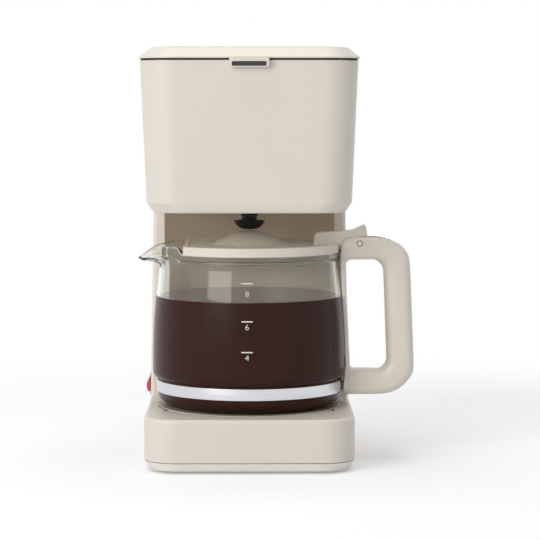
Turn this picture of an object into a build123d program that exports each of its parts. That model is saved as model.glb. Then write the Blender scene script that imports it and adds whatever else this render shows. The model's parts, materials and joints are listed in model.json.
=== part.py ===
from build123d import *
import math
import os

# A drip coffee maker with a glass jug, in millimetres.
# The model is built about the machine's middle plane: x = 0 there, y = 0 half way between the front
# and the rear of the casing, z = 0 on the table, and the front looks towards minus Y.
# The last step moves every piece so that the origin is under the middle of the whole outline.

# Further out than anything, for cutting tools
beyond = 400.0

# Casing
casing_depth = 206.0
casing_corner = 24.0
wall = 2.4
fit_gap = 0.3
foot_height = 2.0
cover_seam_height = 7.8
cover_inset = 4.0
seam_gap = 0.6
deck_height = 39.0
deck_edge_round = 2.5
base_width = 150.0

# Column
column_step = 0.4
pillar_setback = 128.0
pillar_edge_round = 3.0
recess_gap = 7.5

# Head
head_bottom = 183.5
head_chamfer_height = 7.0
head_chamfer_inset = 4.4
head_shoulder_inset = 2.4
head_top = 290.3
head_flare = 1.8
head_front_draft = 3.0
floor_thickness = 2.4
floor_hole_radius = 13.5

# Top lid, its tab and its hinge
lid_gap = 1.3
lid_height = 8.4
lid_overhang = 1.0
lid_rim_height = 1.0
lid_slope_inset = 8.3
lid_crown_inset = 14.0
lid_shell = 2.0
lid_hinge_setback = 19.0
lid_hinge_drop = 3.1
barrel_radius = 3.1
barrel_half_length = 62.0
hinge_pin_radius = 1.5
running_gap = 0.05
ear_width = 7.0
strip_post_x = 50.0
strip_post_radius = 2.5
tab_width = 28.0
tab_reach = 5.0
tab_height = 6.6
tab_slot_width = 24.0
tab_slot_height = 3.2
tab_slot_depth = 3.0
seal_inset = 1.4
seal_width = 2.0

# Warming plate and heater
plate_radius = 67.0
plate_thickness = 1.4
plate_rim_depth = 3.0
plate_stand_out = 0.4
plate_seal_width = 2.4
heater_leg_offset = 40.0
heater_leg_length = 44.0
water_pipe_radius = 5.5
water_pipe_bore = 3.6
heater_rod_radius = 3.4
rod_spacing = 8.0
heater_drop = 1.2
clamp_thickness = 2.0
clamp_width = 16.0
stud_x = 20.0
stud_radius = 4.0
thermostat_radius = 8.0
thermostat_height = 7.0
thermostat_flange = 2.0
thermostat_tab_reach = 14.0
thermostat_tab_width = 6.0
fuse_setback = 22.0
fuse_lead_length = 6.0
fuse_lead_radius = 0.6
fuse_radius = 2.4
fuse_length = 22.0
hose_radius = 4.6
hose_bore = 2.6
hose_bend = 10.0

# Water tank
tank_wall = 1.8
tank_foot = 62.0
tank_column_width = 114.0
tank_head_width = 134.0
tank_head_front = 56.0
tank_top_gap = 2.0
tank_outlet_x = -40.0
tank_outlet_y = 76.0
tank_outlet_radius = 4.0
tank_outlet_wall = 1.5
tank_outlet_drop = 2.0
check_valve_height = 10.0
check_valve_radius = 5.4
check_valve_bore = 3.4
check_valve_seat = 2.0
check_valve_floor = 1.4
check_ball_radius = 2.6
strainer_radius = 5.5
strainer_height = 5.0
strainer_wall = 1.0
strainer_slits = 6
riser_x = 62.0
riser_y = 48.0

# Deck, well, basket, mesh filter and valve
top_deck_drop = 6.0
top_deck_thickness = 2.0
well_radius = 58.0
well_wall = 1.5
basket_rim_radius = 60.5
basket_top_radius = 54.0
basket_foot_radius = 27.0
basket_wall = 1.8
basket_rim_gap = 0.3
basket_rim_thickness = 1.8
basket_collar = 6.0
drain_ring = 12.0
drain_radius = 1.0
drain_count = 4
basket_floor = 199.0
outlet_tube_radius = 9.0
outlet_tube_length = 11.0
filter_gap = 1.4
filter_wall = 0.8
filter_rim_width = 5.0
filter_rim_thickness = 1.0
filter_side_gap = 1.2
filter_collar = 8.0
filter_rib_thickness = 1.6
filter_rib_turn = 10.0
mesh_ribs = 8
valve_neck_radius = 5.9
valve_cup_radius = 11.5
valve_cup_height = 6.2
valve_flat_radius = 5.5
valve_stem_radius = 2.4
valve_seal_radius = 5.0
valve_seal_thickness = 1.6
valve_travel = 4.0
valve_jug_gap = 1.0
spring_radius = 4.4
spring_wire = 0.8

# Spray head under the lid, and the nozzle that feeds it
spray_radius = 26.0
spray_height = 3.6
spray_hole_radius = 1.3
spray_hole_count = 8
spray_arm_width = 14.0
spray_hole_ring = 16.0
spray_wall = 1.0
spray_gap = 0.6
spray_post_radius = 6.0
nozzle_radius = 3.6
nozzle_bore = 1.6
nozzle_height = 3.2
nozzle_depth = 12.0
nozzle_flange = 2.0
nozzle_flange_height = 1.4

# Jug
jug_setback = 83.0
jug_lift = 0.3
glass_wall = 2.4
jug_foot_radius = 57.5
jug_foot_rise = 1.6
band_seat_radius = 67.3
band_seat_low = 10.3
band_seat_high = 20.0
jug_belly_radius = 70.6
jug_belly_height = 25.0
jug_shoulder_radius = 66.3
jug_height = 110.0
spout_reach = 81.6
spout_rise = 6.6
spout_drop = 6.0
spout_half_width = 24.0
spout_tip_half_width = 4.5
spout_wall = 2.2
band_thickness = 0.6
band_height = 8.3
band_low = 10.6

# Jug lid, with its arm and thumb lever
lid_ring_radius = 66.0
lid_ring_height = 6.5
lid_ring_lift = 1.9
lid_ring_wall = 3.0
lid_floor_height = 5.7
lid_floor_thickness = 2.0
lid_chord = 49.0
dome_radius = 28.0
dome_height = 10.2
dome_shell = 2.0
drip_hole_radius = 3.0
skirt_depth = 6.0
skirt_gap = 2.4
arm_width = 13.0
lever_reach = 7.0
lever_height = 13.6

# Handle
pin_x = 80.5
pin_height = 158.2
pin_radius = 2.0
pin_boss_radius = 5.0
handle_width = 23.0
handle_reach = 121.7
handle_taper = 3.1
handle_top = 162.9
handle_foot = 47.0
handle_shoulder_in = 21.5
handle_shoulder_drop = 9.9
handle_heel_in = 13.3
handle_heel_rise = 15.5
handle_inner_x = 67.4
window_top = 146.0
window_foot = 65.2
window_inner_top_x = 70.6
window_inner_foot_x = 74.6
window_outer_top_x = 98.0
window_outer_foot_x = 101.0
handle_round = 5.0
window_round = 1.0
lever_slot_end = 103.0
lever_slot_floor = 149.0
clip_thickness = 1.0
clip_width = 12.0
band_screw_seat = 88.0

# Switch
switch_pivot_depth = 141.0
switch_height = 47.4
switch_mouth = 14.0
switch_frame = 0.9
switch_play = 0.4
rocker_radius = 9.4
rocker_half_angle = 36.0
rocker_width = 10.0
rocker_tilt = 5.5
rocker_stand_out = 2.3
rocker_pivot_radius = 1.2
switch_depth = 12.0
terminal_length = 3.0
terminal_spacing = 7.0
terminal_width = 4.8
terminal_thickness = 0.8

# Cord entry
gland_x = 24.0
gland_height = 22.0
gland_radius = 7.5
gland_bore = 3.6
gland_reach = 3.0
gland_neck = 5.5
gland_groove_gap = 1.4
gland_lip = 1.6

# Fasteners and small parts
screw_radius = 1.6
screw_head_radius = 3.2
screw_head_height = 2.0
cover_screw_x = 58.0
cover_screw_y = 84.0
column_screw_step = 12.0
passage_gap = 7.4
foot_radius = 8.5
foot_x = 56.0
foot_y = 66.0
boss_radius = 4.6
housing_boss_height = 14.0
vent_count = 7
vent_width = 3.0
vent_length = 44.0
vent_pitch = 9.0
wire_radius = 1.2
wire_bend = 5.0
wire_spread = 2.0
wire_run = 14.0
wire_start_gap = 4.0
wire_rise = 8.0
switch_wire_inset = 10.5
switch_wire_drop = 10.0
heat_wire_x = 8.0
heat_wire_setback = 30.0
heat_wire_gap = 4.0

# Places that follow from the sizes above
front = -casing_depth / 2
rear = casing_depth / 2
column_foot_width = base_width
head_shoulder_width = base_width - 2 * head_shoulder_inset
head_top_width = base_width + 2 * head_flare
column_top_width = head_shoulder_width - 2 * column_step
jug_y = front + jug_setback
pillar_y = front + pillar_setback
plate_top = deck_height + plate_stand_out
jug_base = plate_top + jug_lift
recess_radius = jug_belly_radius + recess_gap
deck_underside = deck_height - wall
shoulder_z = head_bottom + head_chamfer_height
floor_top = head_bottom + floor_thickness
deck_top = head_top - top_deck_drop
lid_base = head_top + lid_gap
lid_top = lid_base + lid_height
hinge_y = rear - lid_hinge_setback
hinge_z = lid_top - lid_hinge_drop
jug_rim = jug_base + jug_height
lid_ring_low = jug_rim + lid_ring_lift
lid_ring_top = lid_ring_low + lid_ring_height
dome_top = lid_ring_low + lid_floor_height + dome_height
valve_low = dome_top + valve_jug_gap
valve_cup_top = valve_low + valve_cup_height
basket_underside = basket_floor - basket_wall
outlet_low = basket_underside - outlet_tube_length
spring_low = outlet_low + 1.6
heater_top = plate_top - plate_thickness
heater_axis_z = heater_top - water_pipe_radius - heater_drop
clamp_z = heater_axis_z - water_pipe_radius - clamp_thickness
plate_opening = plate_radius + 0.1 + plate_seal_width
gland_inner_length = gland_groove_gap + gland_lip


def block(x_low, x_high, y_low, y_high, z_low, z_high):
    """A box between two corners."""
    size = (x_high - x_low, y_high - y_low, z_high - z_low)
    centre = Pos((x_low + x_high) / 2, (y_low + y_high) / 2, (z_low + z_high) / 2)
    return centre * Box(*size)


def rod(x, y, z_low, z_high, radius):
    """An upright round rod."""
    return Pos(x, y, (z_low + z_high) / 2) * Cylinder(radius, z_high - z_low)


def cross_rod(x_low, x_high, y, z, radius):
    """A round rod along X."""
    turned = Rot(0, 90, 0) * Cylinder(radius, x_high - x_low)
    return Pos((x_low + x_high) / 2, y, z) * turned


def depth_rod(x, y_low, y_high, z, radius):
    """A round rod along Y."""
    turned = Rot(90, 0, 0) * Cylinder(radius, y_high - y_low)
    return Pos(x, (y_low + y_high) / 2, z) * turned


def plan(width, y_low, y_high, corner, z):
    """A rounded rectangle, level, symmetric about the middle plane."""
    return Pos(0, (y_low + y_high) / 2, z) * RectangleRounded(width, y_high - y_low, corner)


def slab(width, y_low, y_high, corner, z_low, z_high):
    """A rounded rectangle pushed straight up."""
    return extrude(plan(width, y_low, y_high, corner, z_low), z_high - z_low)


def turned(points, y=jug_y):
    """A closed outline of (radius, height) points turned about an upright axis."""
    outline = make_face(Polyline(*[(r, 0, z) for r, z in points], close=True))
    return Pos(0, y, 0) * revolve(outline, Axis.Z)


def ring(inner, outer, z_low, z_high, y=jug_y):
    """A flat ring about an upright axis."""
    return rod(0, y, z_low, z_high, outer) - rod(0, y, z_low - 1, z_high + 1, inner)


def hose(points, bend, outer, bore):
    """A round hose along straight runs joined by arcs, with its bore."""
    path = FilletPolyline(*points, radius=bend)
    start = Plane(origin=path @ 0, z_dir=path % 0)
    skin = sweep(start * Circle(outer), path=path)
    return skin - sweep(start * Circle(bore), path=path)


def width_at(z, z_low, width_low, z_high, width_high):
    """The width of a wall that leans evenly between two heights."""
    return width_low + (width_high - width_low) * (z - z_low) / (z_high - z_low)


def head_plan(z, inset):
    """The head's outline at a height, moved in by a wall."""
    if z < shoulder_z:
        lean = (shoulder_z - z) / head_chamfer_height * head_chamfer_inset
        width = head_shoulder_width - 2 * lean
        front_y = front + head_front_draft + lean
    else:
        width = width_at(z, shoulder_z, head_shoulder_width, head_top, head_top_width)
        front_y = front + head_front_draft * (head_top - z) / (head_top - shoulder_z)
    return plan(width - 2 * inset, front_y + inset, rear - inset, casing_corner - inset, z)


def head_solid(inset, z_low, z_high):
    """The head's outer form, or the space inside its walls."""
    heights = sorted({z_low, shoulder_z, z_high})
    heights = [z for z in heights if z_low <= z <= z_high]
    return loft([head_plan(z, inset) for z in heights], ruled=True)


def column_solid(inset, z_low, z_high):
    """The column's form behind the pillar fronts, or the space inside its walls."""
    low_width = width_at(z_low, deck_height, column_foot_width, shoulder_z, column_top_width)
    high_width = width_at(z_high, deck_height, column_foot_width, shoulder_z, column_top_width)
    corner = casing_corner - inset
    deep = pillar_y - 2 * casing_corner
    body = loft(
        [
            plan(low_width - 2 * inset, deep, rear - inset, corner, z_low),
            plan(high_width - 2 * inset, deep, rear - inset, corner, z_high),
        ],
        ruled=True,
    )
    ahead = block(-base_width, base_width, front, pillar_y + inset, z_low - 1, z_high + 1)
    return body - ahead - rod(0, jug_y, z_low - 1, z_high + 1, recess_radius + inset)


def floor_outline(gap, z_low, z_high):
    """The space under the head's insides that its floor panel fills."""
    inside = head_solid(wall + gap, head_bottom, head_bottom + 2 * floor_thickness)
    reach = block(-base_width, base_width, front, pillar_y + wall - gap, z_low, z_high)
    reach = reach + rod(0, jug_y, z_low, z_high, recess_radius + wall - gap)
    base = extrude(head_plan(head_bottom, wall + gap), 2 * floor_thickness)
    return inside & base & reach


def main_housing():
    """Head and column in one moulding, open at the top and under the column."""
    outer = head_solid(0, head_bottom, head_top)
    column = column_solid(0, deck_height, shoulder_z)
    column = fillet([e for e in column.edges() if on_pillar_corner(e)], pillar_edge_round)
    recess = rod(0, jug_y, deck_height - 1, head_bottom, recess_radius)
    shell = outer + (column - recess)
    shell = shell - head_solid(wall, head_bottom, head_top)
    shell = shell - column_solid(wall, deck_height, shoulder_z)
    shell = shell - switch_opening()
    for x in (-cover_screw_x, cover_screw_x):
        shell = shell + housing_boss(x)
    return shell


def on_pillar_corner(edge):
    """True for the two upright outer edges of the pillars' fronts."""
    upright = edge.bounding_box().size.Z > (shoulder_z - deck_height) / 2
    middle = edge.center()
    outer = (column_foot_width + column_top_width) / 4
    return upright and abs(middle.Y - pillar_y) < fit_gap and abs(abs(middle.X) - outer) < fit_gap


def housing_boss(x):
    """A screw post in the column's foot."""
    y = cover_screw_y - column_screw_step
    high = deck_height + housing_boss_height
    post = rod(x, y, deck_height, high, boss_radius)
    rib = block(x - 1, x + 1, y, rear - wall / 2, deck_height, high)
    return post + rib - rod(x, y, deck_height - 1, high - 2 * wall, screw_radius - 0.2)


def base_housing():
    """The base casing: a shell with a round opening for the plate."""
    low = cover_seam_height + seam_gap
    outer = slab(base_width, front, rear, casing_corner, low, deck_height)
    outer = fillet(outer.faces().sort_by(Axis.Z)[-1].edges(), deck_edge_round)
    inner = slab(
        base_width - 2 * wall, front + wall, rear - wall, casing_corner - wall, low - 1, deck_underside
    )
    shell = outer - inner - rod(0, jug_y, deck_underside - 1, deck_height + 1, plate_opening)
    shell = shell - column_passage()
    for x in (-cover_screw_x, cover_screw_x):
        for y in (-cover_screw_y, cover_screw_y):
            post = rod(x, y, low + 2, deck_underside + 1, boss_radius)
            shell = shell + (post - rod(x, y, low, deck_underside - 3, screw_radius - 0.2))
        y = cover_screw_y - column_screw_step
        shell = shell - rod(x, y, deck_underside - 1, deck_height + 1, screw_radius + 0.2)
    return shell - depth_rod(gland_x, rear - 2 * wall, rear + 1, gland_height, gland_neck + 0.1)


def column_passage():
    """The opening in the deck under the column, for hoses and wires, short of its two screws."""
    opening = column_solid(wall + 4, deck_underside - 1, deck_height + 1)
    y = cover_screw_y - column_screw_step
    for side in (-1, 1):
        near = cover_screw_x - boss_radius - passage_gap
        low, high = sorted((side * near, side * base_width))
        opening = opening - block(low, high, y - 2 * boss_radius, rear, 0, deck_height + 9)
    return opening


def bottom_cover():
    """The tray that closes the base from below."""
    inset = 2 * cover_inset
    low = plan(
        base_width - inset, front + cover_inset, rear - cover_inset, casing_corner - cover_inset, foot_height
    )
    high = plan(base_width - 0.6, front + 0.3, rear - 0.3, casing_corner - 0.3, cover_seam_height)
    tray = loft([low, high], ruled=True)
    hollow = slab(
        base_width - inset - 2 * wall,
        front + cover_inset + wall,
        rear - cover_inset - wall,
        casing_corner - cover_inset - wall,
        foot_height + wall,
        cover_seam_height + 1,
    )
    lip = slab(
        base_width - 2 * wall - 2 * fit_gap,
        front + wall + fit_gap,
        rear - wall - fit_gap,
        casing_corner - wall - fit_gap,
        cover_seam_height - 1,
        cover_seam_height + 2.4,
    )
    tray = tray + lip - hollow
    tray = tray - slab(
        base_width - 4 * wall, front + 2 * wall, rear - 2 * wall, casing_corner - 2 * wall,
        cover_seam_height - 1.1, cover_seam_height + 3,
    )
    for x in (-cover_screw_x, cover_screw_x):
        for y in (-cover_screw_y, cover_screw_y):
            tray = tray + rod(x, y, foot_height, cover_seam_height + 2, boss_radius)
            tray = tray - rod(x, y, foot_height - 1, cover_seam_height + 3, screw_radius + 0.2)
            sink_top = foot_height + screw_head_height + 0.4
            tray = tray - rod(x, y, foot_height - 1, sink_top, screw_head_radius + 0.3)
    for number in range(vent_count):
        y = jug_y + (number - (vent_count - 1) / 2) * vent_pitch
        tray = tray - block(
            -vent_length / 2, vent_length / 2, y - vent_width / 2, y + vent_width / 2,
            foot_height - 1, foot_height + wall + 1,
        )
    for x in (-foot_x, foot_x):
        for y in (-foot_y, foot_y):
            tray = tray - rod(x, y, foot_height - 1, foot_height + wall + 1, screw_radius + 0.6)
    return tray


def rubber_feet():
    """Four rubber feet, each with a plug through the cover."""
    feet = []
    for x in (-foot_x, foot_x):
        for y in (-foot_y, foot_y):
            pad = rod(x, y, 0, foot_height, foot_radius)
            feet.append(pad + rod(x, y, foot_height - 0.5, foot_height + wall, screw_radius + 0.4))
    return feet


def screw(x, y, z_head, z_tip):
    """A pan-head screw, driven upwards, with a cross in its head."""
    up = 1 if z_tip > z_head else -1
    head_end = z_head + up * screw_head_height
    body = rod(x, y, min(z_head, head_end), max(z_head, head_end), screw_head_radius)
    body = body + rod(x, y, min(z_head, z_tip), max(z_head, z_tip), screw_radius - 0.25)
    slot = Pos(x, y, z_head) * Box(3.6, 0.9, 1.6)
    return body - slot - Pos(x, y, z_head) * Box(0.9, 3.6, 1.6)


def cover_screws():
    """The four screws of the bottom cover."""
    places = [(x, y) for x in (-cover_screw_x, cover_screw_x) for y in (-cover_screw_y, cover_screw_y)]
    return [screw(x, y, foot_height + 0.4, deck_underside - 6) for x, y in places]


def column_screws():
    """Two screws that hold the column on the base, driven from below."""
    y = cover_screw_y - column_screw_step
    head = deck_underside - screw_head_height
    return [screw(x, y, head, deck_height + 8) for x in (-cover_screw_x, cover_screw_x)]


def warming_plate():
    """The round plate that the jug stands on, with a turned-down rim."""
    disc = rod(0, jug_y, plate_top - plate_thickness, plate_top, plate_radius)
    disc = fillet(disc.faces().sort_by(Axis.Z)[-1].edges(), 0.9)
    rim_low = plate_top - plate_rim_depth
    return disc + ring(plate_radius - plate_thickness, plate_radius, rim_low, plate_top - plate_thickness)


def plate_seal():
    """The soft ring between the plate and the deck."""
    inner = plate_radius + 0.05
    outer = plate_opening - 0.05
    return ring(inner, outer, deck_underside, deck_height - 0.5)


def leg_path(offset, z):
    """The horseshoe that the water pipe and the heating rod follow."""
    end_y = jug_y + heater_leg_length
    right = Line((offset, end_y, z), (offset, jug_y, z))
    bow = ThreePointArc((offset, jug_y, z), (0, jug_y - offset, z), (-offset, jug_y, z))
    left = Line((-offset, jug_y, z), (-offset, end_y, z))
    return Wire([right, bow, left])


def heating_element():
    """Water pipe and heating rod, cast side by side in a horseshoe."""
    path = leg_path(heater_leg_offset, heater_axis_z)
    start = Plane(origin=path @ 0, z_dir=path % 0)
    pipe = sweep(start * Circle(water_pipe_radius), path=path)
    rod_path = leg_path(heater_leg_offset - rod_spacing, heater_top - heater_rod_radius - 0.05)
    rod_start = Plane(origin=rod_path @ 0, z_dir=rod_path % 0)
    heat_rod = sweep(rod_start * Circle(heater_rod_radius), path=rod_path)
    bore = sweep(start * Circle(water_pipe_bore), path=path)
    return pipe + heat_rod - bore


def heater_clamp():
    """The bar that presses the heater against the plate."""
    half = heater_leg_offset + water_pipe_radius + 4
    y_low = jug_y - clamp_width / 2
    bar = block(-half, half, y_low, y_low + clamp_width, clamp_z, clamp_z + clamp_thickness)
    for x in (-stud_x, stud_x):
        bar = bar - rod(x, jug_y, clamp_z - 1, clamp_z + clamp_thickness + 1, screw_radius + 0.2)
    return bar


def plate_studs():
    """Two studs under the plate that the clamp's screws go into."""
    top = heater_top - 0.05
    low = clamp_z + clamp_thickness
    stud = rod(stud_x, jug_y, low, top, stud_radius)
    stud = stud - rod(stud_x, jug_y, low - 1, top - 3, screw_radius - 0.2)
    return [stud, Pos(-2 * stud_x, 0, 0) * stud]


def clamp_screws():
    """The two screws of the heater's clamp."""
    return [screw(x, jug_y, clamp_z - screw_head_height, heater_top - 5) for x in (-stud_x, stud_x)]


def thermostat():
    """The bimetal switch that holds the plate's temperature."""
    top = heater_top - 0.1
    can = rod(0, jug_y, top - thermostat_height, top, thermostat_radius)
    low = top - thermostat_height + thermostat_flange / 2
    flange = rod(0, jug_y, low, low + thermostat_flange, thermostat_radius + thermostat_flange)
    half = thermostat_tab_width / 2
    reach = thermostat_tab_reach
    tabs = block(-half, half, jug_y - reach, jug_y + reach, low, low + thermostat_flange / 2)
    return can + flange + tabs


def thermal_fuse():
    """The one-time fuse beside the thermostat."""
    y = jug_y + fuse_setback
    z = heater_top - fuse_radius - 0.2
    half = fuse_length / 2
    lead = half + fuse_lead_length
    return cross_rod(-half, half, y, z, fuse_radius) + cross_rod(-lead, lead, y, z, fuse_lead_radius)


def inlet_hose():
    """The cold hose from the check valve to the heater."""
    leg_y = jug_y + heater_leg_length
    points = [
        (tank_outlet_x, tank_outlet_y, tank_foot - tank_outlet_drop - check_valve_height - 0.1),
        (tank_outlet_x, tank_outlet_y, heater_axis_z),
        (tank_outlet_x, leg_y + 0.1, heater_axis_z),
    ]
    return hose(points, hose_bend, hose_radius, hose_bore)


def check_valve():
    """The one-way valve under the tank, with its loose ball."""
    low = tank_foot - tank_outlet_drop - check_valve_height
    high = tank_foot - tank_outlet_drop - 0.1
    floor = low + check_valve_floor
    body = rod(tank_outlet_x, tank_outlet_y, low, high, check_valve_radius)
    body = body - rod(tank_outlet_x, tank_outlet_y, floor, high + 1, check_valve_bore)
    body = body - rod(tank_outlet_x, tank_outlet_y, low - 1, floor + 1, check_valve_seat)
    ball = Pos(tank_outlet_x, tank_outlet_y, floor + check_ball_radius + 0.1) * Sphere(check_ball_radius)
    return [body, ball]


def riser_hose():
    """The hot hose from the heater up to the nozzle."""
    leg_y = jug_y + heater_leg_length
    points = [
        (heater_leg_offset, leg_y + 0.1, heater_axis_z),
        (heater_leg_offset, riser_y, heater_axis_z),
        (riser_x, riser_y, heater_axis_z),
        (riser_x, riser_y, deck_top - top_deck_thickness - 0.5),
    ]
    return hose(points, hose_bend, hose_radius, hose_bore)


def hot_water_nozzle():
    """The short upright nozzle on the deck, with its flange."""
    low = deck_top - top_deck_thickness - nozzle_depth
    seat = deck_top + 0.05
    high = deck_top + nozzle_height
    nozzle = rod(riser_x, riser_y, low, high, hose_bore - 0.05)
    flange_radius = nozzle_radius + nozzle_flange
    nozzle = nozzle + rod(riser_x, riser_y, seat, deck_top + nozzle_flange_height, flange_radius)
    nozzle = nozzle + rod(riser_x, riser_y, seat, high, nozzle_radius)
    return nozzle - rod(riser_x, riser_y, low - 1, high + 1, nozzle_bore)


def tank_form(shell):
    """The tank's outer form, or with a shell the water space inside it."""
    gap = 1.0 + shell
    top = deck_top - top_deck_thickness - tank_top_gap
    column_top = floor_top + 1
    lower = block(
        -tank_column_width / 2 + shell, tank_column_width / 2 - shell,
        pillar_y + wall + 8 + shell, rear - wall - gap,
        tank_foot + shell, column_top + 6,
    )
    lower = fillet(lower.edges().filter_by(Axis.Z).group_by(Axis.Y)[-1], 17 - shell)
    lower = lower - rod(0, jug_y, 0, column_top + 20, recess_radius + wall + gap)
    upper = block(
        -tank_head_width / 2 + shell, tank_head_width / 2 - shell,
        tank_head_front + shell, rear - wall - gap,
        column_top + shell, top + shell,
    )
    upper = fillet(upper.edges().filter_by(Axis.Z).group_by(Axis.Y)[-1], 20 - shell)
    return lower + upper


def water_tank():
    """The tank: the lower part stands in the column, the upper part in the head."""
    tank = tank_form(0) - tank_form(tank_wall)
    low = tank_foot - tank_outlet_drop
    outlet = rod(tank_outlet_x, tank_outlet_y, low, tank_foot + tank_wall, tank_outlet_radius)
    bore = tank_outlet_radius - tank_outlet_wall
    return tank + outlet - rod(tank_outlet_x, tank_outlet_y, low - 1, tank_foot + 2 * tank_wall, bore)


def tank_strainer():
    """The little strainer cup over the tank's outlet."""
    low = tank_foot + tank_wall + 0.05
    high = low + strainer_height
    inner = strainer_radius - strainer_wall
    cup = rod(tank_outlet_x, tank_outlet_y, low, high, strainer_radius)
    cup = cup - rod(tank_outlet_x, tank_outlet_y, low - 1, high - strainer_wall, inner)
    slit = Box(3 * strainer_radius, 0.9 * strainer_wall, strainer_height / 2)
    middle = low + strainer_height / 2 - strainer_wall / 3
    for number in range(strainer_slits):
        turned_slit = Rot(0, 0, 180 * number / strainer_slits) * slit
        cup = cup - Pos(tank_outlet_x, tank_outlet_y, middle) * turned_slit
    return cup


def head_floor():
    """The panel that closes the head from below, with the valve's hole."""
    panel = floor_outline(0.15, head_bottom, floor_top)
    hole = rod(0, jug_y, head_bottom - 1, floor_top + 1, floor_hole_radius)
    return panel - hole


def basket_well():
    """The round well that the basket stands in."""
    high = deck_top - top_deck_thickness - 0.05
    low = floor_top + 0.05
    wall_part = ring(well_radius, well_radius + well_wall, low, high)
    return wall_part + ring(floor_hole_radius + 3, well_radius + 0.5, low, low + 1.6)


def top_deck():
    """The deck around the basket, with the mouth of the tank behind."""
    low = deck_top - top_deck_thickness
    plate = extrude(head_plan(low, wall + 0.3), top_deck_thickness)
    plate = plate - rod(0, jug_y, low - 1, deck_top + 1, well_radius)
    plate = plate - rod(riser_x, riser_y, low - 1, deck_top + 1, hose_bore + 0.1)
    mouth_rear = hinge_y - 5
    mouth_front = tank_head_front + tank_wall
    mouth = slab(tank_head_width - 2 * tank_wall - 8, mouth_front, mouth_rear, 6, low - 1, deck_top + 1)
    return plate - mouth


def cap_outline(inset, z):
    """The outline of the top, lid and rear strip together."""
    width = head_top_width + 2 * lid_overhang - 2 * inset
    y_low = front - lid_overhang + inset
    return plan(width, y_low, rear + lid_overhang - inset, casing_corner - inset / 2, z)


def cap_solid(inset, drop):
    """The shallow domed form of the top."""
    knee = lid_base + lid_rim_height
    crown = lid_top - 0.6
    low = lid_base if inset == 0 else lid_base - 1
    sections = [
        cap_outline(inset, low),
        cap_outline(inset, knee),
        cap_outline(inset + lid_slope_inset, crown - drop),
        cap_outline(inset + lid_crown_inset, lid_top - drop),
    ]
    return loft(sections, ruled=True)


def top_lid():
    """The domed lid with its pull tab and the barrel of its hinge."""
    cap = cap_solid(0, 0) - cap_solid(lid_shell, lid_shell)
    behind = block(-beyond, beyond, hinge_y, rear + 9, lid_base - 9, lid_top + 9)
    lid = cap - behind
    barrel = cross_rod(-barrel_half_length, barrel_half_length, hinge_y, hinge_z, barrel_radius)
    skin = block(-barrel_half_length, barrel_half_length, hinge_y - 4, hinge_y, hinge_z - 2, lid_top)
    lid = lid - cross_rod(-beyond, beyond, hinge_y, hinge_z, barrel_radius + 0.6) + barrel
    lid = lid + (skin & cap_solid(0, 0))
    for side in (-1, 1):
        lid = lid - ear_space(side, 0.4)
        inner = barrel_half_length - 12
        lid = lid - cross_bore(side, inner, barrel_half_length + 9)
    return lid + lid_tab()


def cross_bore(side, x_near, x_far):
    """The bore for a hinge pin, on one side."""
    low, high = sorted((side * x_near, side * x_far))
    return cross_rod(low, high, hinge_y, hinge_z, hinge_pin_radius + running_gap)


def lid_tab():
    """The finger tab at the middle of the lid's front edge."""
    y_high = front - lid_overhang + 1
    y_low = front - tab_reach
    z_high = lid_base + 1.1
    tab = block(-tab_width / 2, tab_width / 2, y_low, y_high, z_high - tab_height, z_high)
    tab = tab - block(-beyond, beyond, front - fit_gap, y_high + 9, 0, lid_base)
    corners = tab.edges().filter_by(Axis.Y).group_by(Axis.Z)[0]
    tab = fillet(corners, 2.5)
    slot_low = z_high - tab_height + 1.4
    slot = block(
        -tab_slot_width / 2, tab_slot_width / 2, y_low - 1, y_low + tab_slot_depth,
        slot_low, slot_low + tab_slot_height,
    )
    return tab - slot


def ear_space(side, gap):
    """The space of one hinge ear, with room around it."""
    near = barrel_half_length + 0.4 - gap
    far = barrel_half_length + 0.4 + ear_width + gap
    low, high = sorted((side * near, side * far))
    reach = barrel_radius + gap
    return block(low, high, hinge_y - reach, hinge_y + 8, lid_base - 1, lid_top + 2)


def hinge_strip():
    """The fixed strip behind the lid, with the two ears of the hinge."""
    strip = cap_solid(0, 0) - cap_solid(lid_shell, lid_shell)
    ahead = block(-beyond, beyond, front - 9, hinge_y + barrel_radius + 0.5, lid_base - 9, lid_top + 9)
    strip = strip - ahead
    wall_y = hinge_y + barrel_radius + 0.5
    front_wall = block(-beyond, beyond, wall_y, wall_y + 1.6, lid_base - 2, lid_top + 2) & cap_solid(0, 0)
    strip = strip + front_wall
    for side in (-1, 1):
        ear = ear_space(side, 0) & cap_solid(0, 0)
        nose = block(-beyond, beyond, hinge_y - 9, hinge_y, lid_base - 2, lid_top + 3)
        ear = ear - (nose - cross_rod(-beyond, beyond, hinge_y, hinge_z, barrel_radius))
        strip = strip + ear
        strip = strip - cross_bore(side, barrel_half_length - 1, barrel_half_length + 5)
        post_low = deck_top + 0.05
        strip = strip + rod(side * strip_post_x, rear - 8, post_low, lid_base + 2.5, strip_post_radius)
    return strip


def strip_foot():
    """The seal strip between the fixed rear strip and the head's rim."""
    inner = hinge_y + barrel_radius + 2.5
    low = head_top + 0.05
    rim = extrude(cap_outline(seal_inset, low), lid_gap - 0.1)
    rim = rim - extrude(cap_outline(seal_inset + seal_width, low - 1), lid_gap + 2)
    return rim - block(-beyond, beyond, front - 9, inner, low - 1, lid_base + 1)


def lid_seal():
    """The dark seal in the gap under the lid."""
    low = head_top + 0.35
    rim = extrude(cap_outline(seal_inset, low), lid_base - low)
    rim = rim - extrude(cap_outline(seal_inset + seal_width, low - 1), lid_gap + 2)
    return rim - block(-beyond, beyond, hinge_y - 6, rear + 9, low - 1, lid_base + 1)


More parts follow.
